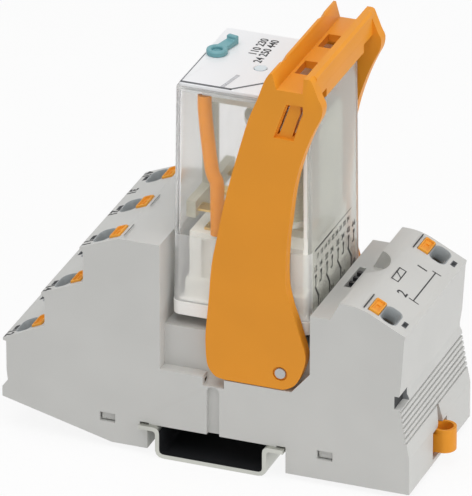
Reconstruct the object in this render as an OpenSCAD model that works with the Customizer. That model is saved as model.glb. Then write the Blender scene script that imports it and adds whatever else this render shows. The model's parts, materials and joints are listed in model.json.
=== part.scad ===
// Relay module: a plug-in relay on a rail-mounted socket with push-in terminals,
// held by a swinging bracket that also lifts the relay out.
// X runs from the contact end to the coil end, Y along the rail, Z up.
// The origin is on the top face of the rail, at its centreline and mid width.

/* [Rail seat] */
// Width of the rail that the base clips on
rail_w = 35; // [30:0.5:40]
// Thickness of the rail's flange
rail_t = 1; // [0.8:0.1:1.5]
// Play of the rail between the two feet
rail_play = 0.35; // [0.2:0.05:0.8]
// How far the feet reach below the rail's top face
foot_drop = 6.3; // [5.5:0.1:7]
// Flat length of the contact end's foot
foot_flat = 8.7; // [6:0.1:10]
// How far the hook reaches under the rail's first flange
hook_reach = 1.8; // [1.5:0.1:2.2]

/* [Base] */
// Length of the contact end beside the relay's well
contact_end_l = 38.65; // [38:0.05:41]
// Length of the coil end beside the relay's well
coil_end_l = 23.95; // [23.5:0.05:26]
// Space beside the relay up to the recess of each bracket arm
relay_side = 0.6; // [0.5:0.05:0.9]
// Wall thickness of the housing
wall = 1.6; // [1.2:0.1:2]
// Height where the sloping underside meets the contact end
end_low = 0.6; // [0:0.1:1.2]
// Depth of the hollow band round the contact end
end_hollow = 1.1; // [0.6:0.1:1.4]
// Height of the top of the foot band at the contact end
end_band = 3.1; // [2.5:0.1:4]

/* [Terminal levels] */
// Height of the lowest level's tip
tip_z = 15.6; // [14:0.2:17]
// Distance of the lowest level's tip inside the contact end
tip_in = 0.3; // [0.1:0.1:0.6]
// Run from one level's tip to the next
level_run = 9.5; // [9:0.1:10.5]
// Rise from one level's tip to the next
level_rise = 13.2; // [12.5:0.1:14]
// Overhang of a level's tip over the riser below it
tip_lip = 0.8; // [0.4:0.1:1.1]
// Thickness of a level's tip lip
lip_h = 1.2; // [0.8:0.1:1.6]
// Slope of the lower contact terminals in degrees
lower_slope = 25; // [22:0.5:27]
// Slope of the middle contact terminals in degrees
middle_slope = 23; // [21:0.5:25]
// Slope of the upper contact terminals in degrees
upper_slope = 22; // [21:0.5:23]
// Height of the flat top beside the relay
top_z = 45.8; // [45:0.1:47]
// Wall between the outer terminals and the base's sides
side_web = 1; // [0.9:0.05:1.4]

/* [Relay well] */
// Space between the relay's foot plate and the well's end walls
well_gap = 1.3; // [1:0.05:1.6]
// Height of the pedestal that holds the socket contacts
pedestal_z = 24.7; // [24:0.1:25]
// Depth of the recess in which each bracket arm swings
arm_recess = 3.1; // [2.9:0.1:3.5]
// Height of the floor of that recess
recess_z = 14.5; // [14:0.1:15]

/* [Coil block] */
// Height of the shelf beside the relay
shelf_z = 34.6; // [34:0.1:35.5]
// Width of the shelf
shelf_w = 4.8; // [4.4:0.1:5.2]
// Height of the coil block's top
block_z = 39.1; // [38.5:0.1:40]
// Slope of the coil terminals in degrees
coil_slope = 27; // [24:1:29]
// Distance of the coil block's tip inside the coil end
coil_tip_in = 1.2; // [0.8:0.1:1.8]
// Height of the coil block's tip
coil_tip_z = 33.4; // [33:0.1:34]
// Count of grip ribs on the coil end
rib_count = 7; // [4:1:8]
// Spacing of the grip ribs
rib_pitch = 1.3; // [1.1:0.05:1.4]

/* [Relay] */
// Distance of the relay's axis from the rail's centreline
relay_x = 5.35; // [5.2:0.05:5.5]
// Width of the relay's foot plate
relay_w = 33.6; // [33:0.1:33.8]
// Height at which the relay's foot plate starts
relay_z = 27.4; // [27.3:0.05:27.8]
// Thickness of the relay's foot plate
rim_h = 3.3; // [3:0.1:3.6]
// Height of the relay's clear cover above the foot plate
cover_h = 53.3; // [52.8:0.1:53.4]
// Wall thickness of the clear cover
cover_t = 1.1; // [0.9:0.1:1.3]
// Thickness of the plate on top of the cover
plate_t = 0.9; // [0.7:0.05:1]
// Count of contact pins under the relay
pin_count = 11; // [11:1:11]
// Radius of a contact pin
pin_r = 1.2; // [1.1:0.05:1.3]
// Length of a contact pin
pin_l = 10.4; // [9.5:0.1:11]
// Radius of the circle on which the pins stand
pin_ring = 9.6; // [9.2:0.1:10]

/* [Bracket] */
// Distance of the bracket's pivot from the relay's axis
pivot_off = 10.9; // [10.6:0.05:11.2]
// Height of the bracket's pivot
pivot_z = 18.7; // [18.5:0.1:19]
// Radius of the pivot pins
pivot_r = 1.25; // [1.1:0.05:1.4]
// Thickness of each arm
arm_t = 2.8; // [2.6:0.05:2.85]
// Height of the bracket's two crests above the relay's cover
crest_rise = 9.1; // [8.8:0.1:9.6]
// Depth of the channel between the crests
channel_d = 3.7; // [3.4:0.1:4]
// Thickness of the bridge under the channel floor
bridge_t = 1.8; // [1.5:0.05:1.85]

/* [Release buttons] */
// Length of a button up the slope
button_u = 2.7; // [2.5:0.1:2.8]
// Width of a button along the rail
button_w = 5.6; // [5.2:0.1:5.8]
// How far a button stands proud of the slope
button_proud = 0.5; // [0.3:0.1:0.8]

/* [Rail latch] */
// Width of the latch bar
latch_w = 8.4; // [7.6:0.1:9]
// Height of the latch bar
latch_h = 4; // [3.6:0.1:4.05]
// How far the latch nose reaches under the rail
latch_grip = 1.8; // [1.4:0.1:2.2]
// How far the latch handle stands out of the coil end
handle_out = 3.9; // [3.4:0.1:4.2]

/* [Hidden] */
$fn = 48;

// Overrun of a cut past the face that it opens
over = 0.4;
// Gap between parts that slide or lie beside each other
gap = 0.15;
// Radial clearance of a running fit
fit = 0.05;
half_w = relay_w / 2 + relay_side + arm_recess;
well_left = relay_w / 2 - relay_x + well_gap;
well_right = relay_x + relay_w / 2 + well_gap;
base_left = well_left + contact_end_l;
base_right = well_right + coil_end_l;
seat_in = (rail_w + rail_play) / 2;
hook_in = seat_in - hook_reach;
hook_slant = 0.7;
rail_gap = 0.1;
seat_relief = 0.3;
land_x = hook_in - over;

// Contact end and its hollow band
end_x = -base_left;
hollow_x = end_x + end_hollow;
hollow_top = tip_z - tip_lip;
hollow_low = 7.6;
hollow_foot = 4.9;
hollow_slant = 0.3;

// Level tips, from the lowest
slopes = [lower_slope, middle_slope, upper_slope];
tip0_x = end_x + tip_in;
levels = [0, 1, 2];
function tip_x(k) = tip0_x + k * level_run;
function level_z(k) = tip_z + k * level_rise;
function riser_x(k) = tip_x(k + 1) + tip_lip;
function riser_z(k) = level_z(k) + (riser_x(k) - tip_x(k)) * tan(slopes[k]);
top_x = tip_x(2) + (top_z - level_z(2)) / tan(upper_slope);

// Coil block
coil_tip_x = base_right - coil_tip_in;
shelf_x = well_right + shelf_w;
block_run = 2.3;
block_x = shelf_x + block_run;
block_tangent = 3.4;
block_r = block_tangent / tan(coil_slope / 2);
slope_top_x = coil_tip_x - (block_z - coil_tip_z) / tan(coil_slope);
arc_x = slope_top_x - block_tangent;
arc_steps = 8;
end_face_in = 2.2;
end_face_x = base_right - end_face_in;
tip_chamfer = 1.2;
end_lean = 0.7;
groove_z = 21;
groove_low = 17.4;
groove_d = 0.5;
groove_sill = 1;
notch_top = 18.1;
notch_low = 14.9;
notch_d = 1.5;
notch_l = 5.5;
rib_d = 0.45;
rib_top = 15.4;
rib_low = rib_top - rib_count * rib_pitch;
rib_valley_share = 0.45;
foot_lean = 0.7;
foot_lean_z = 2.6;

// Recess and pocket beside the bracket's arms
recess_y = half_w - arm_recess;
chamfer_x = 4.5;
chamfer_z = 5.3;
pocket_x = -2.4;
pocket_w = 5.2;
pocket_h = 2.2;
side_groove_x = 0.1;
side_groove_r = 1.55;
side_groove_z = 12.3;
side_groove_d = 1.1;

// Plug-in place for a module on the shelf
module_l = 10.4;
module_in = 2.75;
module_x = well_right + module_in;
module_y = 1.3;
module_w = 1.7;
module_d = 5;
scoop_r = 6.6;
scoop_in = 4.15;
scoop_x = well_right + scoop_in;
scoop_y = 1.7;
scoop_back = 5.9;
module_count = 4;
module_t = 0.9;
module_sink = 0.6;

// Terminal, measured up the slope from the tip and down from its surface
coil_shift = 0.7;
slot_u = 1.3;
slot_l = 1.1;
slot_w = 2.2;
slot_d = 2.2;
funnel_u = 2.8;
funnel_l = 4.1;
funnel_w = 6.3;
funnel_d = 1.8;
funnel_r = 1.6;
throat_u = 3.3;
throat_l = 3.2;
throat_w = 5;
throat_r = 1.2;
button_at = 7.2;
button_gap = 0.12;
roof = 3;
chamber_u = 2.4;
chamber_l = 8.7;
chamber_w = 6.6;
chamber_low = 12;
column_pitch = half_w - side_web - chamber_w / 2;
columns = [-column_pitch, 0, column_pitch];

// Release button
button_end = 4.6;
flange_t = 1;
flange_u = 0.35;
flange_w = 0.35;
button_slot_l = 1.6;
button_slot_w = 0.9;
button_slot_d = 0.8;

// Clamp metal
bar_t = 0.7;
bar_u = 3.1;
bar_w = 5.2;
bar_top = 4.6;
bar_l = 6.6;
spring_t = 0.4;
spring_w = 4.6;
spring_u = 4.4;
spring_l = 6;
spring_top = 6.5;
spring_tip_u = 4.5;
spring_tip_z = 9.2;

// Wiring space under the pedestal and the levels
wiring_top = 13.4;
wiring_in = 11.4;
wiring_end = 1.5;
riser_run = 12.6;
wiring_left = tip_x(0) + riser_run - wiring_end;
wiring_right = base_right - wiring_in;
wiring_y = half_w - wall;
shaft_l = 2.4;
shaft_w = 4.2;
blade_t = 0.6;
blade_h = 2;
blade_low = 4.2;
blade_step = 3;
riser_w = 3.2;
riser_at = [for (k = levels) tip_x(k) + riser_run];
coil_riser_in = 14.4;
coil_riser_x = base_right - coil_riser_in;

// Socket contacts
sleeve_t = 0.48;
sleeve_play = 0.07;
sleeve_in = pin_r + sleeve_play;
sleeve_r = sleeve_in + sleeve_t;
sleeve_bore = sleeve_r + gap;
sleeve_low = 14.2;
sleeve_sink = 0.5;
sleeve_floor = 15.6;
stem_r = 1;
spigot_r = 3.5;
spigot_l = 11.4;
spigot_gap = 0.25;
key_w = 1.6;
key_out = 0.9;
well_floor = 15.2;
pin_step = 360 / pin_count;
pin_tip_h = 0.9;
pin_tip_r = 0.7;

// Bottom cover
cover_gap = 0.1;
cover_top = 1.8;
cover_y = wiring_y - cover_gap;
cover_end = 2.2;
cover_left = end_x + cover_end;
cover_in = 1.7;
cover_right = base_right - cover_in;
pocket_floor = 1.4;
window_l = 3.8;
window_h = 2.3;
window_z = -1.3;
window_left = 25.8;
window_right = 20.3;
windows = [end_x + window_left, base_right - window_right];
snap_play = 0.3;
snap_out = 0.9;

// Latch in the coil end's foot
latch_low = 1.1;
latch_z = -foot_drop + latch_low;
latch_top = latch_z + latch_h;
latch_tip_x = seat_in - latch_grip;
latch_play = 0.1;
latch_ramp = 2.2;
latch_nose_t = 1;
handle_in = 1.4;
handle_x = base_right - handle_in;
handle_w = 5.6;
handle_root_top = 0.4;
handle_top = 1.6;
handle_low = -4.1;
handle_hole = 2.1;
handle_at = base_right + handle_out - handle_w / 2;
opening_w = 9.4;
opening_top = 1.7;
slit_top = 6.8;
slit_w = 3.4;
slit_tip_w = 0.85;
arm_pocket_in = 19.4;
arm_pocket_x = base_right - arm_pocket_in;
arm_pocket_l = 12;
arm_pocket_w = 12.4;
arm_waist = 4;
arm_root_in = 17.4;
arm_root_x = base_right - arm_root_in;
arm_end_t = 1.1;
arm_slant = arm_pocket_w / 2 - arm_waist / 2 - arm_end_t - gap;
arm_end_in = 10.2;
arm_end_x = base_right - arm_end_in;

// Heights of the relay's cover
cover_z = relay_z + rim_h;
lid_z = cover_z + cover_h;

// Bracket, with the outline of its arms measured from the relay's axis and the arms' feet
arm_gap = 0.2;
arm_in = recess_y + arm_gap;
arm_out = arm_in + arm_t;
pivot_bore = pivot_r + fit;
ring_r = 1.75;
ring_d = 0.5;
pin_sunk = 3;
foot_gap = 0.25;
foot_z = recess_z + foot_gap;
pivot_x = relay_x + pivot_off;
crest_z = lid_z + crest_rise;
channel_z = crest_z - channel_d;
arm_left = [
    [-2.55, 0], [-4.65, 0.45], [-6.15, 2.1], [-6.75, 3.8], [-7, 6.8], [-7.05, 10.5], [-6.75, 14.4],
    [-6.15, 20.9], [-5.55, 28.5], [-4.2, 35.8], [-2.75, 43.3], [-1.05, 50.6], [1.05, 58.4], [3.25, 66.2],
    [5.35, 71.5], [7, 76.2], [8.25, 78.35]
];
arm_right = [
    [11.55, 0], [13.55, 0.9], [15.05, 2.45], [16.35, 5.6], [17, 8.5], [16.65, 10.9], [15.85, 13.4],
    [14.75, 17.1], [13.55, 20.4], [12.85, 23.1], [12.35, 25.5], [12.15, 30.3], [12.55, 38.1], [13.05, 41.9],
    [13.95, 49.5], [15.35, 56], [17.45, 62.5], [19.35, 67], [20.45, 69.3], [20.75, 71.8], [19.85, 73.8],
    [18.65, 76.8], [18.05, 78.1], [17.35, 78.35]
];
arm_steps = 3;
crest_left = 8.25;
crest_left_low = 9.85;
crest_right = 16.05;
crest_right_out = 18.55;
crest_drop = 0.6;
ridge_step_x = 7.05;
ridge_step_z = 2.2;
ridge_slope = atan2(crest_left - ridge_step_x, ridge_step_z);
crest_notch_y = 12.2;
crest_notch_w = 4.2;
crest_notch_in = 0.75;
bridge_left = 5.95;
bridge_right = 18.65;
bridge_window_x = 10.6;
bridge_window_l = 4;
bridge_window_y = 3.9;
bridge_window_w = 7;
nose_x = 15.95;
nose_gap = 0.15;
nose_low = lid_z + plate_t + nose_gap;
nose_end = 5.6;
nose_w = 2 * (arm_in - nose_end);
arm_window = [
    [12.25, 71.4], [16.1, 71.6], [16.2, 69.4], [15.3, 67.1], [14, 62.7], [9.2, 62.8], [10.7, 67.1]
];
arm_window_d = 0.9;
arm_slits = [
    [[9.75, 63.4], [10.25, 63.4], [12.85, 70.9], [12.35, 70.9]],
    [
        [13.35, 63.4], [13.85, 63.4], [14.95, 67.1], [15.8, 69.4], [15.75, 70.9],
        [15.25, 70.9], [15.3, 69.4], [14.45, 67.1]
    ]
];
lip_x = -6.35;
lip_l = 7;
lip_gap = 0.1;
lip_t = 2.1;
lip_top = relay_z - lip_gap;
lip_low = lip_top - lip_t;
lip_grip = 2.3;
lip_in = relay_w / 2 - lip_grip;

// Relay
corner_r = 2.2;
cover_inset = 0.15;
cover_w = relay_w - 2 * cover_inset;
cover_draft = 0.5;
edge_step = 0.6;
plate_inset = 1.5;
plate_w = relay_w - 2 * plate_inset;
plate_y = -0.3;
plate_r = 1;
cover_corner_r = 1.8;
// Half the room inside the cover at its top
inner_half = cover_w / 2 - cover_draft - cover_t;
block_end = 1.45;
block_edge = 2.05;
block_l = 2 * (inner_half - block_end);
block_w = 2 * (inner_half - block_edge);
block_share = 0.306;
block_top = cover_z + cover_h * block_share;
block_sill = 1.6;
block_foot_h = 4.6;
block_foot_out = 0.8;
notch_w = 2.4;

// Coil, yoke and armature
yoke_t = 1.8;
yoke_w = 15;
yoke_gap = 0.3;
coil_z = block_top + yoke_t;
flange_share = 0.578;
spool_r = inner_half * flange_share;
hinge_x = relay_x + inner_half - yoke_gap - yoke_t;
coil_x = hinge_x - yoke_gap - spool_r;
winding_in = 0.7;
winding_r = spool_r - winding_in;
tube_r = 4;
core_r = 3;
pole_r = 4.6;
pole_t = 1.1;
pole_gap = 0.6;
armature_t = 1.7;
armature_w = 13;
armature_over = 1.7;
head_room = 6.2;
armature_z = lid_z - cover_t - head_room - armature_t;
bobbin_h = armature_z - pole_gap - pole_t - coil_z;
bobbin_t = 1.2;
tail_w = 6;
tail_gap = 0.4;
tail_at = hinge_x - coil_x + pole_r + tail_gap;
spool_gap = 0.1;
lug_r = 0.8;
lug_out = 0.8;

// Contacts
carriage_side = 0.5;
carriage_x = relay_x - inner_half + carriage_side;
carriage_t = 2.2;
carriage_rise = 3.2;
carriage_low = block_top + carriage_rise;
carriage_h = 4;
carriage_stem_w = 5;
carriage_gap = 0.3;
armature_in = 0.8;
armature_l = hinge_x - carriage_x - armature_in;
set_in = 3.4;
set_pitch = block_w / 2 - set_in;
contact_sets = [-set_pitch, 0, set_pitch];
carriage_end = 2.9;
carriage_w = 2 * (set_pitch + carriage_end);
leaf_t = 0.5;
leaf_w = 3.6;
leaf_rise = 1.4;
leaf_z = carriage_low + leaf_rise;
rivet_r = 1.1;
rivet_h = 0.4;
rivet_in = 1.5;
contact_travel = 1;
contact_gap = 0.15;
strip_t = 0.6;
strip_w = 3.2;
post_gap = 0.2;
post_x = coil_x - spool_r - post_gap - strip_t;
leaf_x = carriage_x + carriage_t;
leaf_l = post_x - post_gap - leaf_x;
rivet_x = leaf_x + leaf_l - rivet_in;
lower_out = 3.5;
lower_x = rivet_x - lower_out;

// Lamp, board and leads
lever_side = 2.55;
lever_x = relay_x - inner_half + lever_side;
lever_stem_r = 1.7;
lever_gap = 0.5;
board_t = 1.2;
board_edge = 1.55;
board_reach = 5.6;
board_w = 2 * (inner_half - board_edge);
board_x = lever_x + lever_stem_r + lever_gap;
board_l = relay_x + board_reach - board_x;
board_z = lid_z - cover_t - board_t;
lamp_off = 0.7;
lamp_x = relay_x - lamp_off;
lamp_y = -2.3;
lamp_r = 1.4;
lamp_flange = 0.4;
lamp_low = 3.4;
lead_r = 1.4;
lead_ring = 0.2;
lead_sides = 8;
lead_in = 0.75;
lead_y = -board_w / 2;
lead_bend = [0, 0, 0.9, 2.7, 3.3, 3.3];
lead_drop_shares = [0, 0.1, 0.33, 0.57, 0.83, 1];
lead_top = board_z - gap;
lead_path = [
    for (i = [0:len(lead_bend) - 1])
        [board_x + lead_in + lead_bend[i], lead_y, lead_top - (lead_top - block_top) * lead_drop_shares[i]]
];

// Test lever
lever_y = 1.3;
lever_r = 2.45;
lever_hole = 1.25;
lever_t = 1.3;
lever_l = 6.9;
lever_w = 2.6;
lever_turn = -13;
lever_tab = 1.3;
lever_tab_h = 0.8;
lever_hole_d = 1;
lever_foot = armature_z + armature_t + lever_gap;

// Underside of the base on the slope beside the contact end's foot
foot_out = -hook_in - foot_flat;
function under_z(x) = -foot_drop + (foot_out - x) * (end_low + foot_drop) / (foot_out - end_x);
rib_lean = (base_right - foot_lean - end_face_x) / (rib_top - rib_low);
function rib_x(z) = end_face_x + rib_lean * (rib_top - z);

rib_edge = [
    for (i = [0:rib_count - 1])
        for (p = [[0, 0], [0, 1 - rib_valley_share], [rib_d, 1 - rib_valley_share], [rib_d, 1]])
            let (z = rib_top - (i + p[1]) * rib_pitch) [rib_x(z) - p[0], z]
];

coil_arc = [
    for (i = [0:arc_steps])
        let (a = coil_slope * i / arc_steps)
        [arc_x + block_r * sin(a), block_z - block_r * (1 - cos(a))]
];

seat_edge = [
    [seat_in, seat_relief], [land_x, seat_relief], [land_x, 0],
    [-land_x, 0], [-land_x, seat_relief], [-seat_in, seat_relief],
    [-seat_in, -rail_t - rail_gap], [-hook_in, -rail_t - rail_gap - hook_slant],
    [-hook_in, -foot_drop], [foot_out, -foot_drop]
];

base_outline = concat(
    seat_edge,
    [
        [end_x, end_low], [end_x, end_band],
        [hollow_x + hollow_slant, hollow_foot], [hollow_x, hollow_low], [hollow_x, hollow_top],
        [tip_x(0), tip_z - lip_h / 2], [tip_x(0), tip_z],
        [riser_x(0), riser_z(0)], [riser_x(0), level_z(1) - lip_h],
        [tip_x(1), level_z(1) - lip_h / 2], [tip_x(1), level_z(1)],
        [riser_x(1), riser_z(1)], [riser_x(1), level_z(2) - lip_h],
        [tip_x(2), level_z(2) - lip_h / 2], [tip_x(2), level_z(2)],
        [top_x, top_z], [-well_left, top_z], [-well_left, pedestal_z], [well_right, pedestal_z],
        [well_right, shelf_z], [shelf_x, shelf_z], [block_x, block_z]
    ],
    coil_arc,
    [
        [coil_tip_x, coil_tip_z], [end_face_x + end_lean, coil_tip_z - tip_chamfer],
        [end_face_x, groove_z], [end_face_x - groove_d, groove_low],
        [end_face_x - groove_d, rib_top + groove_sill]
    ],
    rib_edge,
    [
        [base_right - foot_lean, rib_low], [base_right, foot_lean_z],
        [base_right, -foot_drop], [seat_in, -foot_drop]
    ]
);

cover_outline = concat(
    seat_edge,
    [
        [cover_left, under_z(cover_left)], [cover_left, cover_top],
        [cover_right, cover_top], [cover_right, -foot_drop], [seat_in, -foot_drop]
    ]
);

// Stretches a front view along the rail, from one place to another
module across(low, high) {
    translate([0, high, 0])
        rotate([90, 0, 0])
            linear_extrude(high - low)
                children();
}

// The same on both sides of the rail's direction
module both_sides() {
    children();
    mirror([0, 1, 0]) children();
}

module rounded(l, w, r) {
    square([l - 2 * r, w], center = true);
    square([l, w - 2 * r], center = true);
    for (x = [-1, 1], y = [-1, 1])
        translate([x * (l / 2 - r), y * (w / 2 - r)])
            circle(r);
}

// A bar centred on the rail's direction
module bar(x, z, l, w, h) {
    translate([x, -w / 2, z])
        cube([l, w, h]);
}

// The frame of a terminal: first axis up the slope from the tip, third axis outward
module at_level(k, y) {
    translate([tip_x(k), y, level_z(k)])
        rotate([0, -slopes[k], 0])
            children();
}

module at_coil(y) {
    translate([coil_tip_x, y, coil_tip_z])
        mirror([1, 0, 0])
            rotate([0, -coil_slope, 0])
                children();
}

module terminal_cut(shift) {
    bar(slot_u, -slot_d, slot_l, slot_w, slot_d + over);
    translate([funnel_u + shift + funnel_l / 2, 0, -funnel_d])
        linear_extrude(funnel_d + over)
            rounded(funnel_l, funnel_w, funnel_r);
    translate([throat_u + shift + throat_l / 2, 0, -roof - over])
        linear_extrude(roof + over)
            rounded(throat_l, throat_w, throat_r);
    bar(
        button_at + shift - button_gap, -roof - over,
        button_u + 2 * button_gap, button_w + 2 * button_gap, roof + 2 * over + button_proud
    );
    bar(chamber_u, -chamber_low, chamber_l, chamber_w, chamber_low - roof);
}

// Busbar foot and contact plate in a terminal's chamber
module clamp_bar() {
    bar(bar_u, -chamber_low, bar_l, bar_w, bar_t);
    bar(bar_u, -chamber_low, bar_t, bar_w, chamber_low - bar_top);
}

module clamp_spring() {
    seat = bar_t - chamber_low;
    end = spring_u + spring_l;
    across(-spring_w / 2, spring_w / 2)
        polygon([
            [spring_u, seat], [end, seat], [end, -spring_top],
            [spring_tip_u, -spring_tip_z], [spring_tip_u, -spring_tip_z - spring_t],
            [end - spring_t, -spring_top - spring_t], [end - spring_t, seat + spring_t],
            [spring_u, seat + spring_t]
        ]);
}

module release_button(shift) {
    color("#dc9638")
        difference() {
            union() {
                bar(button_at + shift, -button_end, button_u, button_w, button_end + button_proud);
                bar(
                    button_at + shift - flange_u, -roof - gap - flange_t,
                    button_u + 2 * flange_u, button_w + 2 * flange_w, flange_t
                );
            }
            bar(
                button_at + shift + (button_u - button_slot_l) / 2, button_proud - button_slot_d,
                button_slot_l, button_slot_w, button_slot_d + over
            );
        }
}

function pin_at(k) = [relay_x + pin_ring * cos(180 + k * pin_step), pin_ring * sin(180 + k * pin_step)];
function blade_z(l) = blade_low + l * blade_step;
function foot_z_at(x, tip, tip_height, slope) =
    tip_height + (x - tip) * tan(slope) - (chamber_low - bar_t / 2) / cos(slope);

module run(a, b, l) {
    translate([min(a[0], b[0]) - blade_t / 2, min(a[1], b[1]) - blade_t / 2, blade_z(l)])
        cube([abs(a[0] - b[0]) + blade_t, abs(a[1] - b[1]) + blade_t, blade_h]);
}

module riser(x, y, l, top) {
    translate([x - bar_t / 2, y - riser_w / 2, blade_z(l)])
        cube([bar_t, riser_w, top - blade_z(l)]);
}

// Sleeve for one relay pin, with the rod that carries it on its blade
module sleeve(k, l) {
    p = pin_at(k);
    translate([p[0], p[1], 0])
        difference() {
            union() {
                translate([0, 0, blade_z(l)])
                    cylinder(h = sleeve_low + over - blade_z(l), r = stem_r);
                translate([0, 0, sleeve_low])
                    cylinder(h = pedestal_z - sleeve_sink - sleeve_low, r = sleeve_r);
            }
            translate([0, 0, sleeve_floor])
                cylinder(h = pedestal_z, r = sleeve_in);
        }
}

// One busbar from the sleeve of pin k to a column of level l; the corner is where its run turns
module contact_busbar(k, l, y, turn_first) {
    p = pin_at(k);
    x = riser_at[l];
    corner = turn_first ? [p[0], y] : [x, p[1]];
    sleeve(k, l);
    run(p, corner, l);
    run(corner, [x, y], l);
    riser(x, y, l, foot_z_at(x, tip_x(l), level_z(l), slopes[l]));
    at_level(l, y) clamp_bar();
}

module coil_busbar(k, y) {
    p = pin_at(k);
    sleeve(k, 1);
    run(p, [coil_riser_x, p[1]], 1);
    run([coil_riser_x, p[1]], [coil_riser_x, y], 1);
    riser(coil_riser_x, y, 1, foot_z_at(coil_tip_x - coil_riser_x, 0, coil_tip_z, coil_slope));
    at_coil(y) clamp_bar();
}

module side_cuts() {
    both_sides() {
        translate([-well_left, recess_y, recess_z])
            cube([well_left + well_right - chamfer_x, arm_recess + over, top_z]);
        across(recess_y, half_w + over)
            polygon([
                [well_right - chamfer_x - over, recess_z], [well_right - chamfer_x, recess_z],
                [well_right, recess_z + chamfer_z], [well_right, top_z],
                [well_right - chamfer_x - over, top_z]
            ]);
        translate([pocket_x, recess_y, recess_z - pocket_h])
            cube([pocket_w, arm_recess + over, pocket_h + over]);
        translate([side_groove_x - side_groove_r, half_w - side_groove_d, -over])
            cube([2 * side_groove_r, side_groove_d + over, side_groove_z - side_groove_r + over]);
        translate([side_groove_x, half_w - side_groove_d, side_groove_z - side_groove_r])
            rotate([-90, 0, 0])
                cylinder(h = side_groove_d + over, r = side_groove_r);
        for (x = windows)
            translate([x - window_l / 2, cover_y, window_z])
                cube([window_l, wall + 2 * over, window_h]);
    }
}

// Way for a busbar's riser from the wiring space up to a terminal's chamber
module shaft(x, y, top) {
    translate([x - shaft_l / 2, y - shaft_w / 2, wiring_top - over])
        cube([shaft_l, shaft_w, max(0, top - wiring_top) + 2 * over]);
}

module housing() {
    color("#bcbcb6")
        difference() {
            across(-half_w, half_w) polygon(base_outline);
            side_cuts();
            // Place for the bottom cover, and the wiring space over it
            across(-wiring_y, wiring_y)
                polygon([
                    [cover_left - cover_gap, -foot_drop - over],
                    [cover_left - cover_gap, cover_top + cover_gap],
                    [cover_right + cover_gap, cover_top + cover_gap],
                    [cover_right + cover_gap, -foot_drop - over]
                ]);
            bar(wiring_left, 0, wiring_right - wiring_left, 2 * wiring_y, wiring_top);
            for (k = levels, y = columns) {
                at_level(k, y) terminal_cut(0);
                shaft(riser_at[k], y, foot_z_at(riser_at[k], tip_x(k), level_z(k), slopes[k]));
            }
            for (y = [-column_pitch, column_pitch]) {
                at_coil(y) terminal_cut(coil_shift);
                shaft(coil_riser_x, y, foot_z_at(coil_tip_x - coil_riser_x, 0, coil_tip_z, coil_slope));
            }
            for (k = [0:pin_count - 1])
                translate([pin_at(k)[0], pin_at(k)[1], wiring_top - over])
                    cylinder(h = pedestal_z - wiring_top + 2 * over, r = sleeve_bore);
            // Hole for the relay's spigot and its key
            translate([relay_x, 0, well_floor]) {
                cylinder(h = pedestal_z, r = spigot_r + spigot_gap);
                bar(
                    -spigot_r - key_out - spigot_gap, 0, spigot_r + key_out,
                    key_w + 2 * spigot_gap, pedestal_z
                );
            }
            // Holes for the bracket's pivot pins
            both_sides()
                translate([pivot_x, recess_y - pin_sunk, pivot_z])
                    rotate([-90, 0, 0])
                        cylinder(h = pin_sunk + over, r = pivot_r + fit);
            // Plug-in place for a module, with its finger recess
            translate([module_x - module_w / 2, module_y - module_l / 2, shelf_z - module_d])
                cube([module_w, module_l, module_d + over]);
            translate([scoop_x, scoop_y, shelf_z])
                difference() {
                    cylinder(h = block_z, r = scoop_r);
                    translate([-scoop_r - over, scoop_back, -over])
                        cube([2 * scoop_r + 2 * over, scoop_r, block_z + 2 * over]);
                }
            // Pocket at the near end of the groove in the coil end
            across(-half_w - over, notch_l - half_w)
                polygon([
                    [end_face_x - notch_d, notch_low], [base_right + over, notch_low],
                    [base_right + over, notch_top], [end_face_x - notch_d, notch_top]
                ]);
            // Latch opening in the coil end
            translate([cover_right, -opening_w / 2, latch_z - latch_play])
                cube([base_right - cover_right + over, opening_w, opening_top - latch_z + latch_play]);
            translate([cover_right, 0, 0])
                rotate([90, 0, 90])
                    linear_extrude(base_right - cover_right + over)
                        polygon([
                            [-slit_w / 2, opening_top - over], [slit_w / 2, opening_top - over],
                            [slit_tip_w, slit_top], [0, slit_top]
                        ]);
        }
}

module bottom_cover() {
    color("#b4b4ae")
        union() {
            difference() {
                across(-cover_y, cover_y) polygon(cover_outline);
                // Hollow foot at the contact end
                across(pocket_floor - cover_y, cover_y - pocket_floor)
                    polygon([
                        [-seat_in - pocket_floor, cover_top + over],
                        [-seat_in - pocket_floor, pocket_floor - foot_drop],
                        [foot_out, pocket_floor - foot_drop],
                        [cover_left + pocket_floor, under_z(cover_left) + pocket_floor],
                        [cover_left + pocket_floor, cover_top + over]
                    ]);
                // Channel for the latch, with pockets for its spring arms
                bar(
                    seat_in - over, latch_z - latch_play, cover_right - seat_in + 2 * over,
                    latch_w + 2 * latch_play, latch_h + 2 * latch_play
                );
                bar(
                    arm_pocket_x, latch_z - latch_play, arm_pocket_l, arm_pocket_w,
                    latch_h + 2 * latch_play
                );
            }
            // Snaps that catch in the housing's side windows
            both_sides()
                for (x = windows)
                    across(cover_y - over, cover_y + snap_out)
                        polygon([
                            [x - window_l / 2 + snap_play, window_z + snap_play],
                            [x + window_l / 2 - snap_play, window_z + snap_play],
                            [x + window_l / 2 - snap_play, window_z + window_h - snap_play],
                            [x - window_l / 2 + snap_play, window_z + window_h - snap_play]
                        ]);
        }
}

module pivot_pin_front() {
    color("#d9d9d4")
        translate([pivot_x, -arm_out, pivot_z])
            rotate([-90, 0, 0])
                cylinder(h = arm_out - recess_y + pin_sunk, r = pivot_r);
}

module pivot_pin_back() {
    mirror([0, 1, 0]) pivot_pin_front();
}

module lower_busbars() {
    color("#b98b4a") {
        contact_busbar(4, 0, columns[0], true);
        contact_busbar(-4, 0, columns[1], false);
        contact_busbar(-3, 0, columns[2], true);
    }
}

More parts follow.
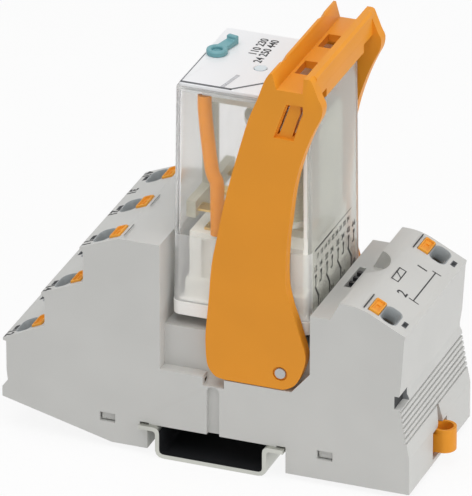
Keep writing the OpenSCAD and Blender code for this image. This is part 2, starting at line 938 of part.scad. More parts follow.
module middle_busbars() {
    color("#b98b4a") {
        contact_busbar(3, 1, columns[0], true);
        contact_busbar(2, 1, columns[1], false);
        contact_busbar(-2, 1, columns[2], true);
    }
}

module upper_busbars() {
    color("#b98b4a") {
        contact_busbar(1, 2, columns[0], true);
        contact_busbar(0, 2, columns[1], false);
        contact_busbar(-1, 2, columns[2], true);
    }
}

module coil_busbars() {
    color("#b98b4a") {
        coil_busbar(5, -column_pitch);
        coil_busbar(-5, column_pitch);
    }
}

module level_springs(k) {
    color("#9a9a98")
        for (y = columns)
            at_level(k, y) clamp_spring();
}

module lower_clamp_springs() {
    level_springs(0);
}

module middle_clamp_springs() {
    level_springs(1);
}

module upper_clamp_springs() {
    level_springs(2);
}

module coil_clamp_springs() {
    color("#9a9a98")
        for (y = [-column_pitch, column_pitch])
            at_coil(y) clamp_spring();
}

// Contact springs of the plug-in place for a module
module module_contacts() {
    color("#3a3a3c")
        for (i = [0:module_count - 1])
            translate([module_x - module_w / 2, module_y - module_l / 2, shelf_z - module_d])
                translate([0, (i + 1 / 2) * module_l / module_count - module_t / 2, 0])
                    cube([module_w - gap, module_t, module_d - module_sink]);
}

module button_lower_1() {
    at_level(0, columns[0]) release_button(0);
}

module button_lower_2() {
    at_level(0, columns[1]) release_button(0);
}

module button_lower_3() {
    at_level(0, columns[2]) release_button(0);
}

module button_middle_1() {
    at_level(1, columns[0]) release_button(0);
}

module button_middle_2() {
    at_level(1, columns[1]) release_button(0);
}

module button_middle_3() {
    at_level(1, columns[2]) release_button(0);
}

module button_upper_1() {
    at_level(2, columns[0]) release_button(0);
}

module button_upper_2() {
    at_level(2, columns[1]) release_button(0);
}

module button_upper_3() {
    at_level(2, columns[2]) release_button(0);
}

module button_coil_1() {
    at_coil(-column_pitch) release_button(coil_shift);
}

module button_coil_2() {
    at_coil(column_pitch) release_button(coil_shift);
}

// Latch bar with its nose under the rail, two spring arms and the handle outside
module rail_latch() {
    color("#dc8f34")
        difference() {
            union() {
                across(-latch_w / 2, latch_w / 2)
                    polygon([
                        [latch_tip_x, latch_top], [latch_tip_x, latch_top - latch_nose_t],
                        [latch_tip_x + latch_ramp, latch_z], [arm_root_x, latch_z], [arm_root_x, latch_top]
                    ]);
                bar(arm_root_x - over, latch_z, handle_x - arm_root_x + 2 * over, arm_waist, latch_h);
                both_sides()
                    translate([0, 0, latch_z])
                        linear_extrude(latch_h)
                            polygon([
                                [arm_root_x - over, arm_waist / 2 + gap], [arm_root_x - over, latch_w / 2],
                                [arm_end_x, arm_waist / 2 + arm_slant + arm_end_t],
                                [arm_end_x, arm_waist / 2 + arm_slant]
                            ]);
                bar(handle_x, handle_low, handle_at - handle_x, handle_w, handle_root_top - handle_low);
                translate([handle_at, 0, handle_low])
                    cylinder(h = handle_top - handle_low, r = handle_w / 2);
            }
            translate([handle_at, 0, handle_low - over])
                cylinder(h = handle_top - handle_low + 2 * over, r = handle_hole);
        }
}

// Smooth line through the points, with the same count of steps between each two of them
function between(a, b, c, d, t) =
    b + (c - a) * t / 2
    + (2 * a - 5 * b + 4 * c - d) * pow(t, 2) / 2
    + (3 * b - a - 3 * c + d) * pow(t, 3) / 2;
function curve(p, steps) = concat(
    [
        for (i = [0:len(p) - 2], j = [0:steps - 1])
            between(p[max(i - 1, 0)], p[i], p[i + 1], p[min(i + 2, len(p) - 1)], j / steps)
    ],
    [p[len(p) - 1]]
);
function backward(p) = [for (i = [1:len(p)]) p[len(p) - i]];

// Heights of the drawn points stretched to the bracket's own height
arm_rise = (crest_z - foot_z) / arm_left[len(arm_left) - 1][1];
function lift(points) = [for (p = points) [p[0], foot_z + p[1] * arm_rise]];

arm_outline = concat(lift(curve(arm_left, arm_steps)), backward(lift(curve(arm_right, arm_steps))));

module bracket_bridge() {
    across(-arm_in - over, arm_in + over)
        polygon([
            [bridge_left, channel_z - bridge_t], [ridge_step_x, crest_z - ridge_step_z],
            [crest_left, crest_z], [crest_right_out - crest_drop, crest_z],
            [crest_right_out, crest_z - crest_drop], [bridge_right, channel_z - bridge_t]
        ]);
    // Nose that holds the relay down
    across(-nose_w / 2, nose_w / 2)
        polygon([
            [nose_x, channel_z - over], [nose_x, nose_low], [bridge_right - crest_drop, nose_low],
            [bridge_right, nose_low + crest_drop], [bridge_right, channel_z - over]
        ]);
}

// Channel between the two crests, open at both arms
module bridge_channel() {
    across(-arm_out - over, arm_out + over)
        polygon([
            [crest_left_low, channel_z], [crest_left + crest_drop, crest_z],
            [crest_left + crest_drop, crest_z + over], [crest_right + crest_drop / 2, crest_z + over],
            [crest_right + crest_drop / 2, crest_z], [crest_right, channel_z]
        ]);
}

// Shallow notch in the outer face of the crest on the contact side, cut along its slope
module crest_notch() {
    translate([ridge_step_x, crest_notch_y, crest_z - ridge_step_z])
        rotate([0, ridge_slope, 0])
            linear_extrude(2 * ridge_step_z)
                polygon([
                    [-crest_notch_in, -crest_notch_w], [crest_notch_in, 0],
                    [-crest_notch_in, crest_notch_w]
                ]);
}

module bracket() {
    color("#dd9336")
        translate([relay_x, 0, 0])
            difference() {
                union() {
                    both_sides() {
                        across(arm_in, arm_out) polygon(arm_outline);
                        // Lip that lifts the relay out
                        translate([lip_x, lip_in, lip_low])
                            cube([lip_l, arm_in + over - lip_in, lip_top - lip_low]);
                    }
                    bracket_bridge();
                }
                bridge_channel();
                both_sides() {
                    crest_notch();
                    translate([pivot_off, arm_in - over, pivot_z])
                        rotate([-90, 0, 0])
                            cylinder(h = arm_t + 2 * over, r = pivot_bore);
                    translate([pivot_off, arm_out - ring_d, pivot_z])
                        rotate([-90, 0, 0])
                            cylinder(h = ring_d + over, r = ring_r);
                    across(arm_out - arm_window_d, arm_out + over)
                        polygon(lift(arm_window));
                    for (s = arm_slits)
                        across(arm_in - over, arm_out)
                            polygon(lift(s));
                    translate([bridge_window_x, bridge_window_y, channel_z - bridge_t - over])
                        cube([bridge_window_l, bridge_window_w, bridge_t + 2 * over]);
                }
            }
}

module relay_base() {
    color("#dcdcd6")
        difference() {
            translate([relay_x, 0, 0]) {
                translate([0, 0, relay_z])
                    linear_extrude(rim_h)
                        rounded(relay_w, relay_w, corner_r);
                translate([0, 0, relay_z - spigot_l])
                    cylinder(h = spigot_l + over, r = spigot_r);
                bar(-spigot_r - key_out, relay_z - spigot_l, spigot_r + key_out, key_w, spigot_l + over);
            }
            for (k = [0:pin_count - 1])
                translate([pin_at(k)[0], pin_at(k)[1], relay_z - over])
                    cylinder(h = rim_h + 2 * over, r = pin_r + fit);
        }
}

module relay_pins() {
    color("#c9c2ae")
        for (k = [0:pin_count - 1])
            translate([pin_at(k)[0], pin_at(k)[1], relay_z - pin_l]) {
                cylinder(h = pin_tip_h, r1 = pin_tip_r, r2 = pin_r);
                translate([0, 0, pin_tip_h])
                    cylinder(h = pin_l + rim_h - pin_tip_h, r = pin_r);
            }
}

// Block with sides that lean in towards the top and a chamfered top edge
module leaning_block(w, h, draft, edge, r) {
    side = [
        [-w / 2, 0], [-w / 2 + draft, h - edge], [-w / 2 + draft + edge, h],
        [w / 2 - draft - edge, h], [w / 2 - draft, h - edge], [w / 2, 0]
    ];
    intersection() {
        across(-w / 2, w / 2) polygon(side);
        rotate([0, 0, 90]) across(-w / 2, w / 2) polygon(side);
        linear_extrude(h) rounded(w, w, r);
    }
}

module relay_cover() {
    color("#e4eaec")
        difference() {
            translate([relay_x, 0, cover_z]) {
                difference() {
                    leaning_block(cover_w, cover_h, cover_draft, edge_step, cover_corner_r);
                    translate([0, 0, -over])
                        leaning_block(
                            cover_w - 2 * cover_t, cover_h - cover_t + over, cover_draft, edge_step,
                            cover_corner_r - cover_t
                        );
                }
            }
            lid_holes();
        }
}

module lid_holes() {
    translate([lamp_x, lamp_y, board_z])
        cylinder(h = lid_z - board_z + plate_t + over, r = lamp_r + gap);
    translate([lever_x, lever_y, board_z])
        cylinder(h = lid_z - board_z + plate_t + over, r = lever_stem_r + fit);
}

module top_plate() {
    color("#ecece8")
        difference() {
            translate([relay_x, plate_y, lid_z])
                linear_extrude(plate_t)
                    rounded(plate_w, plate_w, plate_r);
            lid_holes();
        }
}

module contact_block() {
    color("#e2e2dc")
        difference() {
            union() {
                bar(relay_x - block_l / 2, cover_z, block_l, block_w, block_top - cover_z);
                bar(
                    relay_x - block_l / 2 - block_foot_out, cover_z,
                    block_l + 2 * block_foot_out, block_w + 2 * block_foot_out, block_foot_h
                );
            }
            both_sides()
                for (y = contact_sets)
                    translate([relay_x + y - notch_w / 2, block_w / 2 - notch_d, cover_z + block_foot_h])
                        cube([notch_w, notch_d + over, block_top - cover_z - block_foot_h - block_sill]);
        }
}

module ring(z, h, r, hole) {
    translate([coil_x, 0, z])
        difference() {
            cylinder(h = h, r = r);
            translate([0, 0, -over])
                cylinder(h = h + 2 * over, r = hole);
        }
}

module coil_bobbin() {
    color("#d8d2c4") {
        ring(coil_z, bobbin_t, spool_r, core_r + fit);
        ring(coil_z, bobbin_h, tube_r, core_r + fit);
        ring(coil_z + bobbin_h - bobbin_t, bobbin_t, spool_r, core_r + fit);
    }
}

module coil_winding() {
    color("#b5743a")
        ring(coil_z + bobbin_t, bobbin_h - 2 * bobbin_t, winding_r, tube_r + fit);
}

module iron_core() {
    color("#a5a5a3")
        translate([coil_x, 0, 0]) {
            translate([0, 0, block_top])
                cylinder(h = coil_z + bobbin_h - block_top + over, r = core_r);
            translate([0, 0, coil_z + bobbin_h])
                cylinder(h = pole_t, r = pole_r);
        }
}

module yoke() {
    color("#a5a5a3")
        difference() {
            union() {
                bar(coil_x - winding_r, block_top, hinge_x + yoke_t - coil_x + winding_r, yoke_w, yoke_t);
                bar(hinge_x, block_top, yoke_t, yoke_w, armature_z - spool_gap - block_top);
            }
            translate([coil_x, 0, block_top - over])
                cylinder(h = yoke_t + 2 * over, r = core_r + fit);
        }
}

module armature() {
    color("#9c9c9a") {
        bar(hinge_x - tail_at, armature_z, tail_at + armature_over, armature_w, armature_t);
        bar(hinge_x - armature_l, armature_z, armature_l - tail_at + over, tail_w, armature_t);
        // Lugs on the axis about which it tips
        translate([hinge_x, armature_w / 2 + lug_out, armature_z + armature_t / 2])
            rotate([90, 0, 0])
                cylinder(h = armature_w + 2 * lug_out, r = lug_r);
    }
}

module contact_carriage() {
    color("#e6e2d4") {
        bar(
            carriage_x, carriage_low, carriage_t, carriage_stem_w,
            armature_z - carriage_gap - carriage_low
        );
        bar(carriage_x, carriage_low, carriage_t, carriage_w, carriage_h);
    }
}

module rivet(z, h) {
    translate([rivet_x, 0, z])
        cylinder(h = h, r = rivet_r);
}

module moving_contacts() {
    color("#c79a52")
        for (y = contact_sets)
            translate([0, y, 0]) {
                bar(leaf_x, leaf_z, leaf_l, leaf_w, leaf_t);
                rivet(leaf_z - rivet_h, leaf_t + 2 * rivet_h);
            }
}

// Lower and upper fixed contact of each set, on their strips and posts
module fixed_contacts() {
    lower_top = leaf_z - rivet_h - contact_travel - contact_gap;
    upper_low = leaf_z + leaf_t + rivet_h + contact_gap;
    color("#c79a52")
        for (y = contact_sets)
            translate([0, y, 0]) {
                bar(lower_x, block_top, post_x - strip_t - lower_x, strip_w, strip_t);
                rivet(block_top, lower_top - block_top);
                bar(post_x, block_top, strip_t, strip_w, upper_low + rivet_h + strip_t - block_top);
                bar(
                    rivet_x - rivet_r, upper_low + rivet_h,
                    post_x + strip_t - rivet_x + rivet_r, strip_w, strip_t
                );
                rivet(upper_low, rivet_h + over);
            }
}

module indicator_board() {
    color("#5f8f6a")
        difference() {
            translate([board_x, -board_w / 2, board_z])
                cube([board_l, board_w, board_t]);
            translate([lamp_x, lamp_y, board_z - over])
                cylinder(h = board_t + 2 * over, r = lamp_r + gap);
        }
}

module indicator_lamp() {
    color("#b9c9b0")
        translate([lamp_x, lamp_y, 0]) {
            translate([0, 0, board_z - lamp_low])
                cylinder(h = lid_z + plate_t - board_z + lamp_low, r = lamp_r);
            translate([0, 0, board_z - lamp_low])
                cylinder(h = lamp_low, r = lamp_r + lamp_flange);
        }
}

// Insulated lead from the board down to the contact block
module lead_wires() {
    color("#d88a35")
        for (i = [1:len(lead_path) - 1])
            hull()
                for (p = [lead_path[i - 1], lead_path[i]])
                    translate(p)
                        cylinder(h = lead_ring, r = lead_r, $fn = lead_sides);
}

module test_lever() {
    color("#6fb6cc")
        translate([lever_x, lever_y, 0])
            rotate([0, 0, lever_turn])
                difference() {
                    union() {
                        translate([0, 0, lid_z + plate_t])
                            cylinder(h = lever_t, r = lever_r);
                        translate([0, 0, lever_foot])
                            cylinder(h = lid_z + plate_t - lever_foot + over, r = lever_stem_r);
                        translate([-lever_w / 2, 0, lid_z + plate_t])
                            cube([lever_w, lever_l, lever_t]);
                        translate([-lever_w / 2, lever_l - lever_tab, lid_z + plate_t])
                            cube([lever_w, lever_tab, lever_t + lever_tab_h]);
                    }
                    translate([0, 0, lid_z + plate_t + lever_t - lever_hole_d])
                        cylinder(h = lever_hole_d + over, r = lever_hole);
                }
}

housing();
bottom_cover();
pivot_pin_front();
pivot_pin_back();
lower_busbars();
middle_busbars();
upper_busbars();
coil_busbars();
lower_clamp_springs();
middle_clamp_springs();
upper_clamp_springs();
coil_clamp_springs();
module_contacts();
button_lower_1();
button_lower_2();
button_lower_3();
button_middle_1();
button_middle_2();
button_middle_3();
button_upper_1();
button_upper_2();
button_upper_3();
button_coil_1();
button_coil_2();
rail_latch();
bracket();
relay_base();
relay_pins();
relay_cover();
top_plate();
contact_block();
coil_bobbin();
coil_winding();
iron_core();
yoke();
fixed_contacts();
indicator_board();
indicator_lamp();
lead_wires();
armature();
contact_carriage();
moving_contacts();
test_lever();
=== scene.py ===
import json
import math

import bmesh
import bpy
import numpy as np
from mathutils import Matrix, Vector


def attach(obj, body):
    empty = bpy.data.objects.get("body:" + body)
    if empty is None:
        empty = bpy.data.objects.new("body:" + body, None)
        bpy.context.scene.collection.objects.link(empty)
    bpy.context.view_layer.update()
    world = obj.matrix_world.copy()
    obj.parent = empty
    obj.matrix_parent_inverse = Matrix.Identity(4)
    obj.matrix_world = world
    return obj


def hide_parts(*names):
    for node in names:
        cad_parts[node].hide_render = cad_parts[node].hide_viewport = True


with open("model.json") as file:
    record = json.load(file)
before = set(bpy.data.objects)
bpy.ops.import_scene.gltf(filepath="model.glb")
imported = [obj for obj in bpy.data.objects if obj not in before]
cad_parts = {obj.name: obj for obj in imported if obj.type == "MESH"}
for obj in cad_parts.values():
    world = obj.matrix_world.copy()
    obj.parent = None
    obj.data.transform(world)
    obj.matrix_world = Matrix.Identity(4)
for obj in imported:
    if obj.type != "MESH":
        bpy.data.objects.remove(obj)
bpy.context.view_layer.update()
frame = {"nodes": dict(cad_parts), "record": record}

bl_info = {
    "name": "Relay module looks",
    "version": (1, 0, 0),
    "blender": (4, 5, 0),
    "location": "View3D > Sidebar > Relay",
    "description": "Dresses a plug-in relay module on its rail-mounted socket",
    "category": "Object",
}

MM = 0.001

# All sizes below are in millimetres, in the CAD frame.
# Terminal levels: x and z of the tip, slope in degrees, side that the slope climbs to
LEVELS = {
    "lower": (-51.1, 15.6, 25.0, 1),
    "middle": (-41.6, 28.8, 23.0, 1),
    "upper": (-32.1, 42.0, 22.0, 1),
    "coil": (46.2, 33.4, 27.0, -1),
}
CONTACT_COLUMNS = (-16.2, 0.0, 16.2)
COIL_COLUMNS = (-16.2, 16.2)
COIL_SHIFT = 0.7  # the coil terminals stand this much further up their slope
TEST_SLOT_UP, MOUTH_UP, BUTTON_UP = 1.85, 4.85, 8.55  # from the tip up the slope

RELAY_X = 5.35
COVER_LOW, COVER_STEP, COVER_TOP = 30.7, 47.5, 84.0
COVER_HALF = 16.65  # half of the cover's length at its lower edge
LABEL_Z = 84.9

INK_HEIGHT = 0.03
DIGIT_SHARE = 0.7  # height of a digit as a share of the built-in letters' size
ROUNDED_FROM = 32.0  # edges that turn by more degrees than this are rounded


def linear(*screen):
    """Scene-linear colour of a screen colour: each channel to the power 2.4 above the toe."""
    c = np.array(screen, float) / 255.0
    return tuple(np.where(c > 0.04045, ((c + 0.055) / 1.055) ** 2.4, c / 12.92))


# ---------------------------------------------------------------- surfaces

def rounded_loop(length, width, radius, corner=8):
    """Points round a rounded rectangle: each corner is a quarter circle set in by its radius."""
    a = np.linspace(0, np.pi / 2, corner)
    quarters = [
        np.stack([np.cos(a + k * np.pi / 2) * radius + sx * (length / 2 - radius),
                  np.sin(a + k * np.pi / 2) * radius + sy * (width / 2 - radius)], 1)
        for k, (sx, sy) in enumerate(((1, 1), (-1, 1), (-1, -1), (1, -1)))
    ]
    return np.concatenate(quarters)


def stack(rows, corner=8):
    """Surface through rounded rectangles laid over each other: rows of length, width, radius, height."""
    return np.stack([
        np.column_stack([rounded_loop(length, width, radius, corner), np.full(4 * corner, height)])
        for length, width, radius, height in rows
    ])


def rounded_top(side, pull, corner, top, drop, steps=6):
    """Loops over a rounded top edge: on a quarter circle the side shrinks by the pull and rises by the drop."""
    return [
        (side - pull * (1 - np.cos(t)), side - pull * (1 - np.cos(t)), corner, top - drop * (1 - np.sin(t)))
        for t in np.linspace(0, np.pi / 2, steps)
    ]


def carried(outline, axis, low, high):
    """Profile carried straight along one axis: the same outline at both ends of the way."""
    return np.stack([np.insert(outline, axis, value, axis=1) for value in (low, high)])


def smooth_path(points, steps=8):
    """Curve through the points: cubic arcs whose ends follow the chord between their neighbours."""
    p = np.array(points, float)
    ends = np.concatenate([[2 * p[0] - p[1]], p, [2 * p[-1] - p[-2]]])
    a, b, c, d = ends[:-3], ends[1:-2], ends[2:-1], ends[3:]
    t = np.linspace(0, 1, steps, endpoint=False)[None, :, None]
    a, b, c, d = (v[:, None, :] for v in (a, b, c, d))
    curve = 2 * b + (c - a) * t + (2 * a - 5 * b + 4 * c - d) * t ** 2 + (3 * b - a - 3 * c + d) * t ** 3
    curve *= 0.5
    return np.concatenate([curve.reshape(-1, p.shape[1]), p[-1:]])


def tube(path, radius, sides=20):
    """Round tube: at each path point a circle lies across the path's direction."""
    p = np.array(path, float)
    along = np.gradient(p, axis=0)
    along /= np.linalg.norm(along, axis=1)[:, None]
    side = np.cross(along, [0.0, 1.0, 0.0])
    side /= np.linalg.norm(side, axis=1)[:, None]
    up = np.cross(side, along)
    a = np.linspace(0, 2 * np.pi, sides, endpoint=False)
    r = np.broadcast_to(np.asarray(radius, float), (len(p),))[:, None, None]
    ring = side[:, None, :] * np.cos(a)[None, :, None] + up[:, None, :] * np.sin(a)[None, :, None]
    return p[:, None, :] + ring * r


def stroke(x0, y0, x1, y1, width, height=INK_HEIGHT):
    """Thin closed bar along a stroke: its ends move half the width to both sides and up by the height."""
    a, b = np.array([x0, y0], float), np.array([x1, y1], float)
    along = (b - a) / np.linalg.norm(b - a) * width / 2
    side = np.array([-along[1], along[0]])
    ring = np.array([a - along - side, b + along - side, b + along + side, a - along + side])
    return np.stack([np.column_stack([ring, np.full(4, z)]) for z in (0.0, height)])


def strokes(lines, width, place):
    """Closed bars of one width along several strokes, all moved by the place's matrix."""
    return [solid(moved(stroke(*line, width), place)) for line in lines]


def grid_faces(rows, cols, wrap, start):
    """Indices of the four corners of every cell of a grid."""
    r, c = np.meshgrid(np.arange(rows - 1), np.arange(cols if wrap else cols - 1), indexing="ij")
    n = (c + 1) % cols
    corners = [r * cols + c, r * cols + n, (r + 1) * cols + n, (r + 1) * cols + c]
    return (start + np.stack(corners, -1)).reshape(-1, 4)


def mesh_of(name, parts):
    """One mesh of several surfaces in millimetres, each a grid of points, wrap, low cap and high cap."""
    points, faces, start = [], [], 0
    for grid, wrap, low, high in parts:
        rows, cols = grid.shape[:2]
        points.append(grid.reshape(-1, 3))
        faces += grid_faces(rows, cols, wrap, start).tolist()
        if low:
            faces.append(list(range(start + cols - 1, start - 1, -1)))
        if high:
            faces.append(list(range(start + (rows - 1) * cols, start + rows * cols)))
        start += rows * cols
    mesh = bpy.data.meshes.new(name)
    mesh.from_pydata((np.concatenate(points) * MM).tolist(), [], faces)
    mesh.update()
    return mesh


def solid(grid):
    """A stack of loops closed at both ends."""
    return (grid, True, True, True)


def sleeve(grid):
    """A stack of loops whose last loop meets its first, so it is closed like a ring."""
    return (np.concatenate([grid, grid[:1]]), True, False, False)


def slope_place(level, y):
    """Matrix from a terminal's own frame (up the slope, along the rail, outward) to the object's."""
    x, z, slope, side = LEVELS[level]
    turn = Matrix.Rotation(-math.radians(slope), 4, "Y")
    return np.array(Matrix.Translation((x, y, z)) @ Matrix.Diagonal((side, 1, 1, 1)) @ turn)


def print_place(origin, reading, upward):
    """Matrix whose columns are the reading direction, the way up, their cross product and the origin."""
    r, u = np.array(reading, float), np.array(upward, float)
    m = np.eye(4)
    m[:3, 0], m[:3, 1], m[:3, 2], m[:3, 3] = r, u, np.cross(r, u), origin
    return m


def slope_print(level, y, up, lift=0.02):
    """Place of a print on a terminal's slope: it reads from the wire side and stands up the slope."""
    x, z, slope, side = LEVELS[level]
    a = math.radians(slope)
    upward = np.array([side * math.cos(a), 0.0, math.sin(a)])
    outward = np.array([-side * math.sin(a), 0.0, math.cos(a)])
    origin = np.array([x, y, z]) + upward * up + outward * lift
    return print_place(origin, np.cross(upward, outward), upward)


def moved(grid, matrix):
    """Each point times the matrix, with the translation added."""
    m = np.asarray(matrix)
    return grid @ m[:3, :3].T + m[:3, 3]


def shift(grid, x=0.0, y=0.0, z=0.0):
    """Each point plus one offset."""
    return grid + np.array([x, y, z])


def number_mesh(name, items, bold=0.05):
    """One mesh of plain numbers: each is set in the built-in letters, thickened and moved to its place."""
    bm = bmesh.new()
    for text, height, place in items:
        curve = bpy.data.curves.new(name, "FONT")
        curve.body = text
        curve.size = height / DIGIT_SHARE
        curve.align_x, curve.align_y = "CENTER", "CENTER"
        curve.offset = bold
        curve.extrude = INK_HEIGHT / 2
        curve.resolution_u = 3
        holder = bpy.data.objects.new(name, curve)
        flat = bpy.data.meshes.new_from_object(holder)
        flat.transform(Matrix(place.tolist()))
        bm.from_mesh(flat)
        bpy.data.objects.remove(holder)
        bpy.data.curves.remove(curve)
        bpy.data.meshes.remove(flat)
    bmesh.ops.scale(bm, vec=(MM, MM, MM), verts=bm.verts)
    bmesh.ops.remove_doubles(bm, verts=bm.verts, dist=1e-7)
    mesh = bpy.data.meshes.new(name)
    bm.to_mesh(mesh)
    bm.free()
    return mesh


def add_piece(name, parts, material, body, replaces=(), slot=None, angle=35.0, bevel=0.0):
    """Links a new mesh as a piece on its body, with outward normals and soft shading below the angle."""
    mesh = mesh_of(name, parts)
    tidy(mesh)
    return finish_piece(name, mesh, material, body, replaces, slot, angle, bevel)


def tidy(mesh, merge=1e-6, flat=0.0):
    """Merges doubled points, joins flat triangles where asked, and turns every face outward."""
    bm = bmesh.new()
    bm.from_mesh(mesh)
    bmesh.ops.remove_doubles(bm, verts=bm.verts, dist=merge)
    if flat:
        bmesh.ops.dissolve_limit(bm, angle_limit=flat, verts=bm.verts, edges=bm.edges)
    bmesh.ops.recalc_face_normals(bm, faces=bm.faces)
    bm.to_mesh(mesh)
    bm.free()
    mesh.update()


def finish_piece(name, mesh, material, body, replaces=(), slot=None, angle=35.0, bevel=0.0):
    """Shades and bevels a mesh, links it on its body and hides the CAD nodes it replaces."""
    mesh.shade_smooth()
    mesh.set_sharp_from_angle(angle=math.radians(angle))
    piece = bpy.data.objects.new(name, mesh)
    bpy.context.scene.collection.objects.link(piece)
    for m in material if isinstance(material, (list, tuple)) else (material,):
        mesh.materials.append(m)
    if bevel:
        edge = piece.modifiers.new("edge_round", "BEVEL")
        edge.width = bevel
        edge.segments = 2
        edge.limit_method = "ANGLE"
        edge.angle_limit = math.radians(ROUNDED_FROM)
        edge.use_clamp_overlap = True
        edge.harden_normals = False
    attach(piece, body)
    for node in replaces:
        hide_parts(node)
    return piece


def body_of_node(node):
    """Name of the CAD body that a node belongs to."""
    return next(b for b, nodes in frame["record"]["behaviour"]["bodies"].items() if node in nodes)


def slot_of_node(node):
    """Material slot that the record gives a node."""
    return next(s["material_slot"] for s in frame["record"]["subparts"] if s["node"] == node)


def rounded_copy(node, name, material, bevel, angle=ROUNDED_FROM):
    """A copy of a CAD node with its flat triangles joined and its edges rounded."""
    mesh = frame["nodes"][node].data.copy()
    mesh.name = name
    mesh.materials.clear()
    tidy(mesh, merge=2e-6, flat=math.radians(0.5))
    body, slot = body_of_node(node), slot_of_node(node)
    return finish_piece(name, mesh, material, body, (node,), slot, angle, bevel)


def give(node, material):
    """Puts a material on every slot of a CAD node that stays in view."""
    data = frame["nodes"][node].data
    if not data.materials:
        data.materials.append(material)
    for i in range(len(data.materials)):
        data.materials[i] = material


# ---------------------------------------------------------------- materials

class Nodes:
    """Short way to add and link shader nodes of one material."""

    def __init__(self, name):
        self.material = bpy.data.materials.new(name)
        self.material.use_nodes = True
        self.tree = self.material.node_tree
        self.tree.nodes.clear()
        self.out = self.add("ShaderNodeOutputMaterial")
        self.shader = self.add("ShaderNodeBsdfPrincipled")
        self.link(self.shader, "BSDF", self.out, "Surface")
        self.place = self.add("ShaderNodeTexCoord")

    def add(self, kind, **values):
        node = self.tree.nodes.new(kind)
        for key, value in values.items():
            setattr(node, key, value)
        return node

    def link(self, a, out, b, into):
        self.tree.links.new(a.outputs[out], b.inputs[into])

    def noise(self, scale, detail=3.0, rough=0.5, stretch=(1, 1, 1)):
        """Cloud pattern in the object's own space."""
        mapping = self.add("ShaderNodeMapping")
        mapping.inputs["Scale"].default_value = stretch
        noise = self.add("ShaderNodeTexNoise")
        noise.inputs["Scale"].default_value = scale
        noise.inputs["Detail"].default_value = detail
        noise.inputs["Roughness"].default_value = rough
        self.link(self.place, "Object", mapping, "Vector")
        self.link(mapping, "Vector", noise, "Vector")
        return noise

    def ramp(self, source, low, high, start=0.3, end=0.7, output="Fac"):
        """Blend from one colour to the other over a span of the source's value."""
        ramp = self.add("ShaderNodeValToRGB")
        ramp.color_ramp.elements[0].position = start
        ramp.color_ramp.elements[0].color = (*low, 1)
        ramp.color_ramp.elements[1].position = end
        ramp.color_ramp.elements[1].color = (*high, 1)
        self.link(source, output, ramp, "Fac")
        return ramp

    def vary(self, source, socket, low, high):
        """Roughness or similar, spread between two values by the source."""
        spread = self.add("ShaderNodeMapRange")
        spread.inputs["From Min"].default_value = 0.3
        spread.inputs["From Max"].default_value = 0.7
        spread.inputs["To Min"].default_value = low
        spread.inputs["To Max"].default_value = high
        self.link(source, "Fac", spread, "Value")
        self.link(spread, "Result", self.shader, socket)

    def bump(self, source, strength, distance):
        """Fine relief from the source."""
        bump = self.add("ShaderNodeBump")
        bump.inputs["Strength"].default_value = strength
        bump.inputs["Distance"].default_value = distance
        self.link(source, "Fac", bump, "Height")
        self.link(bump, "Normal", self.shader, "Normal")

    def set(self, **values):
        for key, value in values.items():
            self.shader.inputs[key.replace("_", " ")].default_value = value


def moulded_plastic(name, colour, rough=(0.42, 0.52), grain=5200.0, relief=0.12, tint=0.03, gloss=0.5):
    """Moulded plastic: a spark-eroded grain of about 0.2 mm, with slow faint changes of shade."""
    n = Nodes(name)
    cloud = n.noise(55.0, 2.0)
    grain_noise = n.noise(grain, 2.0)
    c = np.array(colour)
    ramp = n.ramp(cloud, tuple(c * (1 - tint)), tuple(np.minimum(c * (1 + tint), 1.0)))
    n.link(ramp, "Color", n.shader, "Base Color")
    n.vary(grain_noise, "Roughness", *rough)
    n.bump(grain_noise, relief, 0.00002)
    n.set(IOR=1.5, Specular_IOR_Level=gloss)
    return n.material


def clear_plastic(name, colour, rough=(0.05, 0.14), clear=0.9, bend=1.2, shade=0.86):
    """Clear moulded plastic with some haze; a see-through surface of one shade takes the shadow rays."""
    n = Nodes(name)
    flow = n.noise(90.0, 3.0, 0.6, (1, 1, 0.25))
    n.vary(flow, "Roughness", *rough)
    n.bump(flow, 0.04, 0.0003)
    n.set(Base_Color=(*colour, 1), IOR=bend, Transmission_Weight=clear)
    path = n.add("ShaderNodeLightPath")
    through = n.add("ShaderNodeBsdfTransparent")
    through.inputs["Color"].default_value = (shade, shade, shade, 1)
    mix = n.add("ShaderNodeMixShader")
    n.link(path, "Is Shadow Ray", mix, "Fac")
    n.link(n.shader, "BSDF", mix, 1)
    n.link(through, "BSDF", mix, 2)
    n.link(mix, "Shader", n.out, "Surface")
    return n.material


def metal(name, colour, rough=(0.22, 0.4), brush=(1, 1, 14)):
    """Rolled or stamped metal with fine drawn lines."""
    n = Nodes(name)
    lines = n.noise(900.0, 4.0, 0.7, brush)
    cloud = n.noise(120.0, 2.0)
    c = np.array(colour)
    ramp = n.ramp(cloud, tuple(c * 0.9), tuple(np.minimum(c * 1.08, 1.0)))
    n.link(ramp, "Color", n.shader, "Base Color")
    n.vary(lines, "Roughness", *rough)
    n.bump(lines, 0.1, 0.00002)
    n.set(Metallic=1.0)
    return n.material


def ink(name, colour):
    """Printed ink with slightly uneven cover."""
    n = Nodes(name)
    speck = n.noise(3500.0, 2.0)
    c = np.array(colour)
    ramp = n.ramp(speck, tuple(c * 0.7), tuple(c * 1.4 + 0.01))
    n.link(ramp, "Color", n.shader, "Base Color")
    n.set(Roughness=0.55)
    return n.material


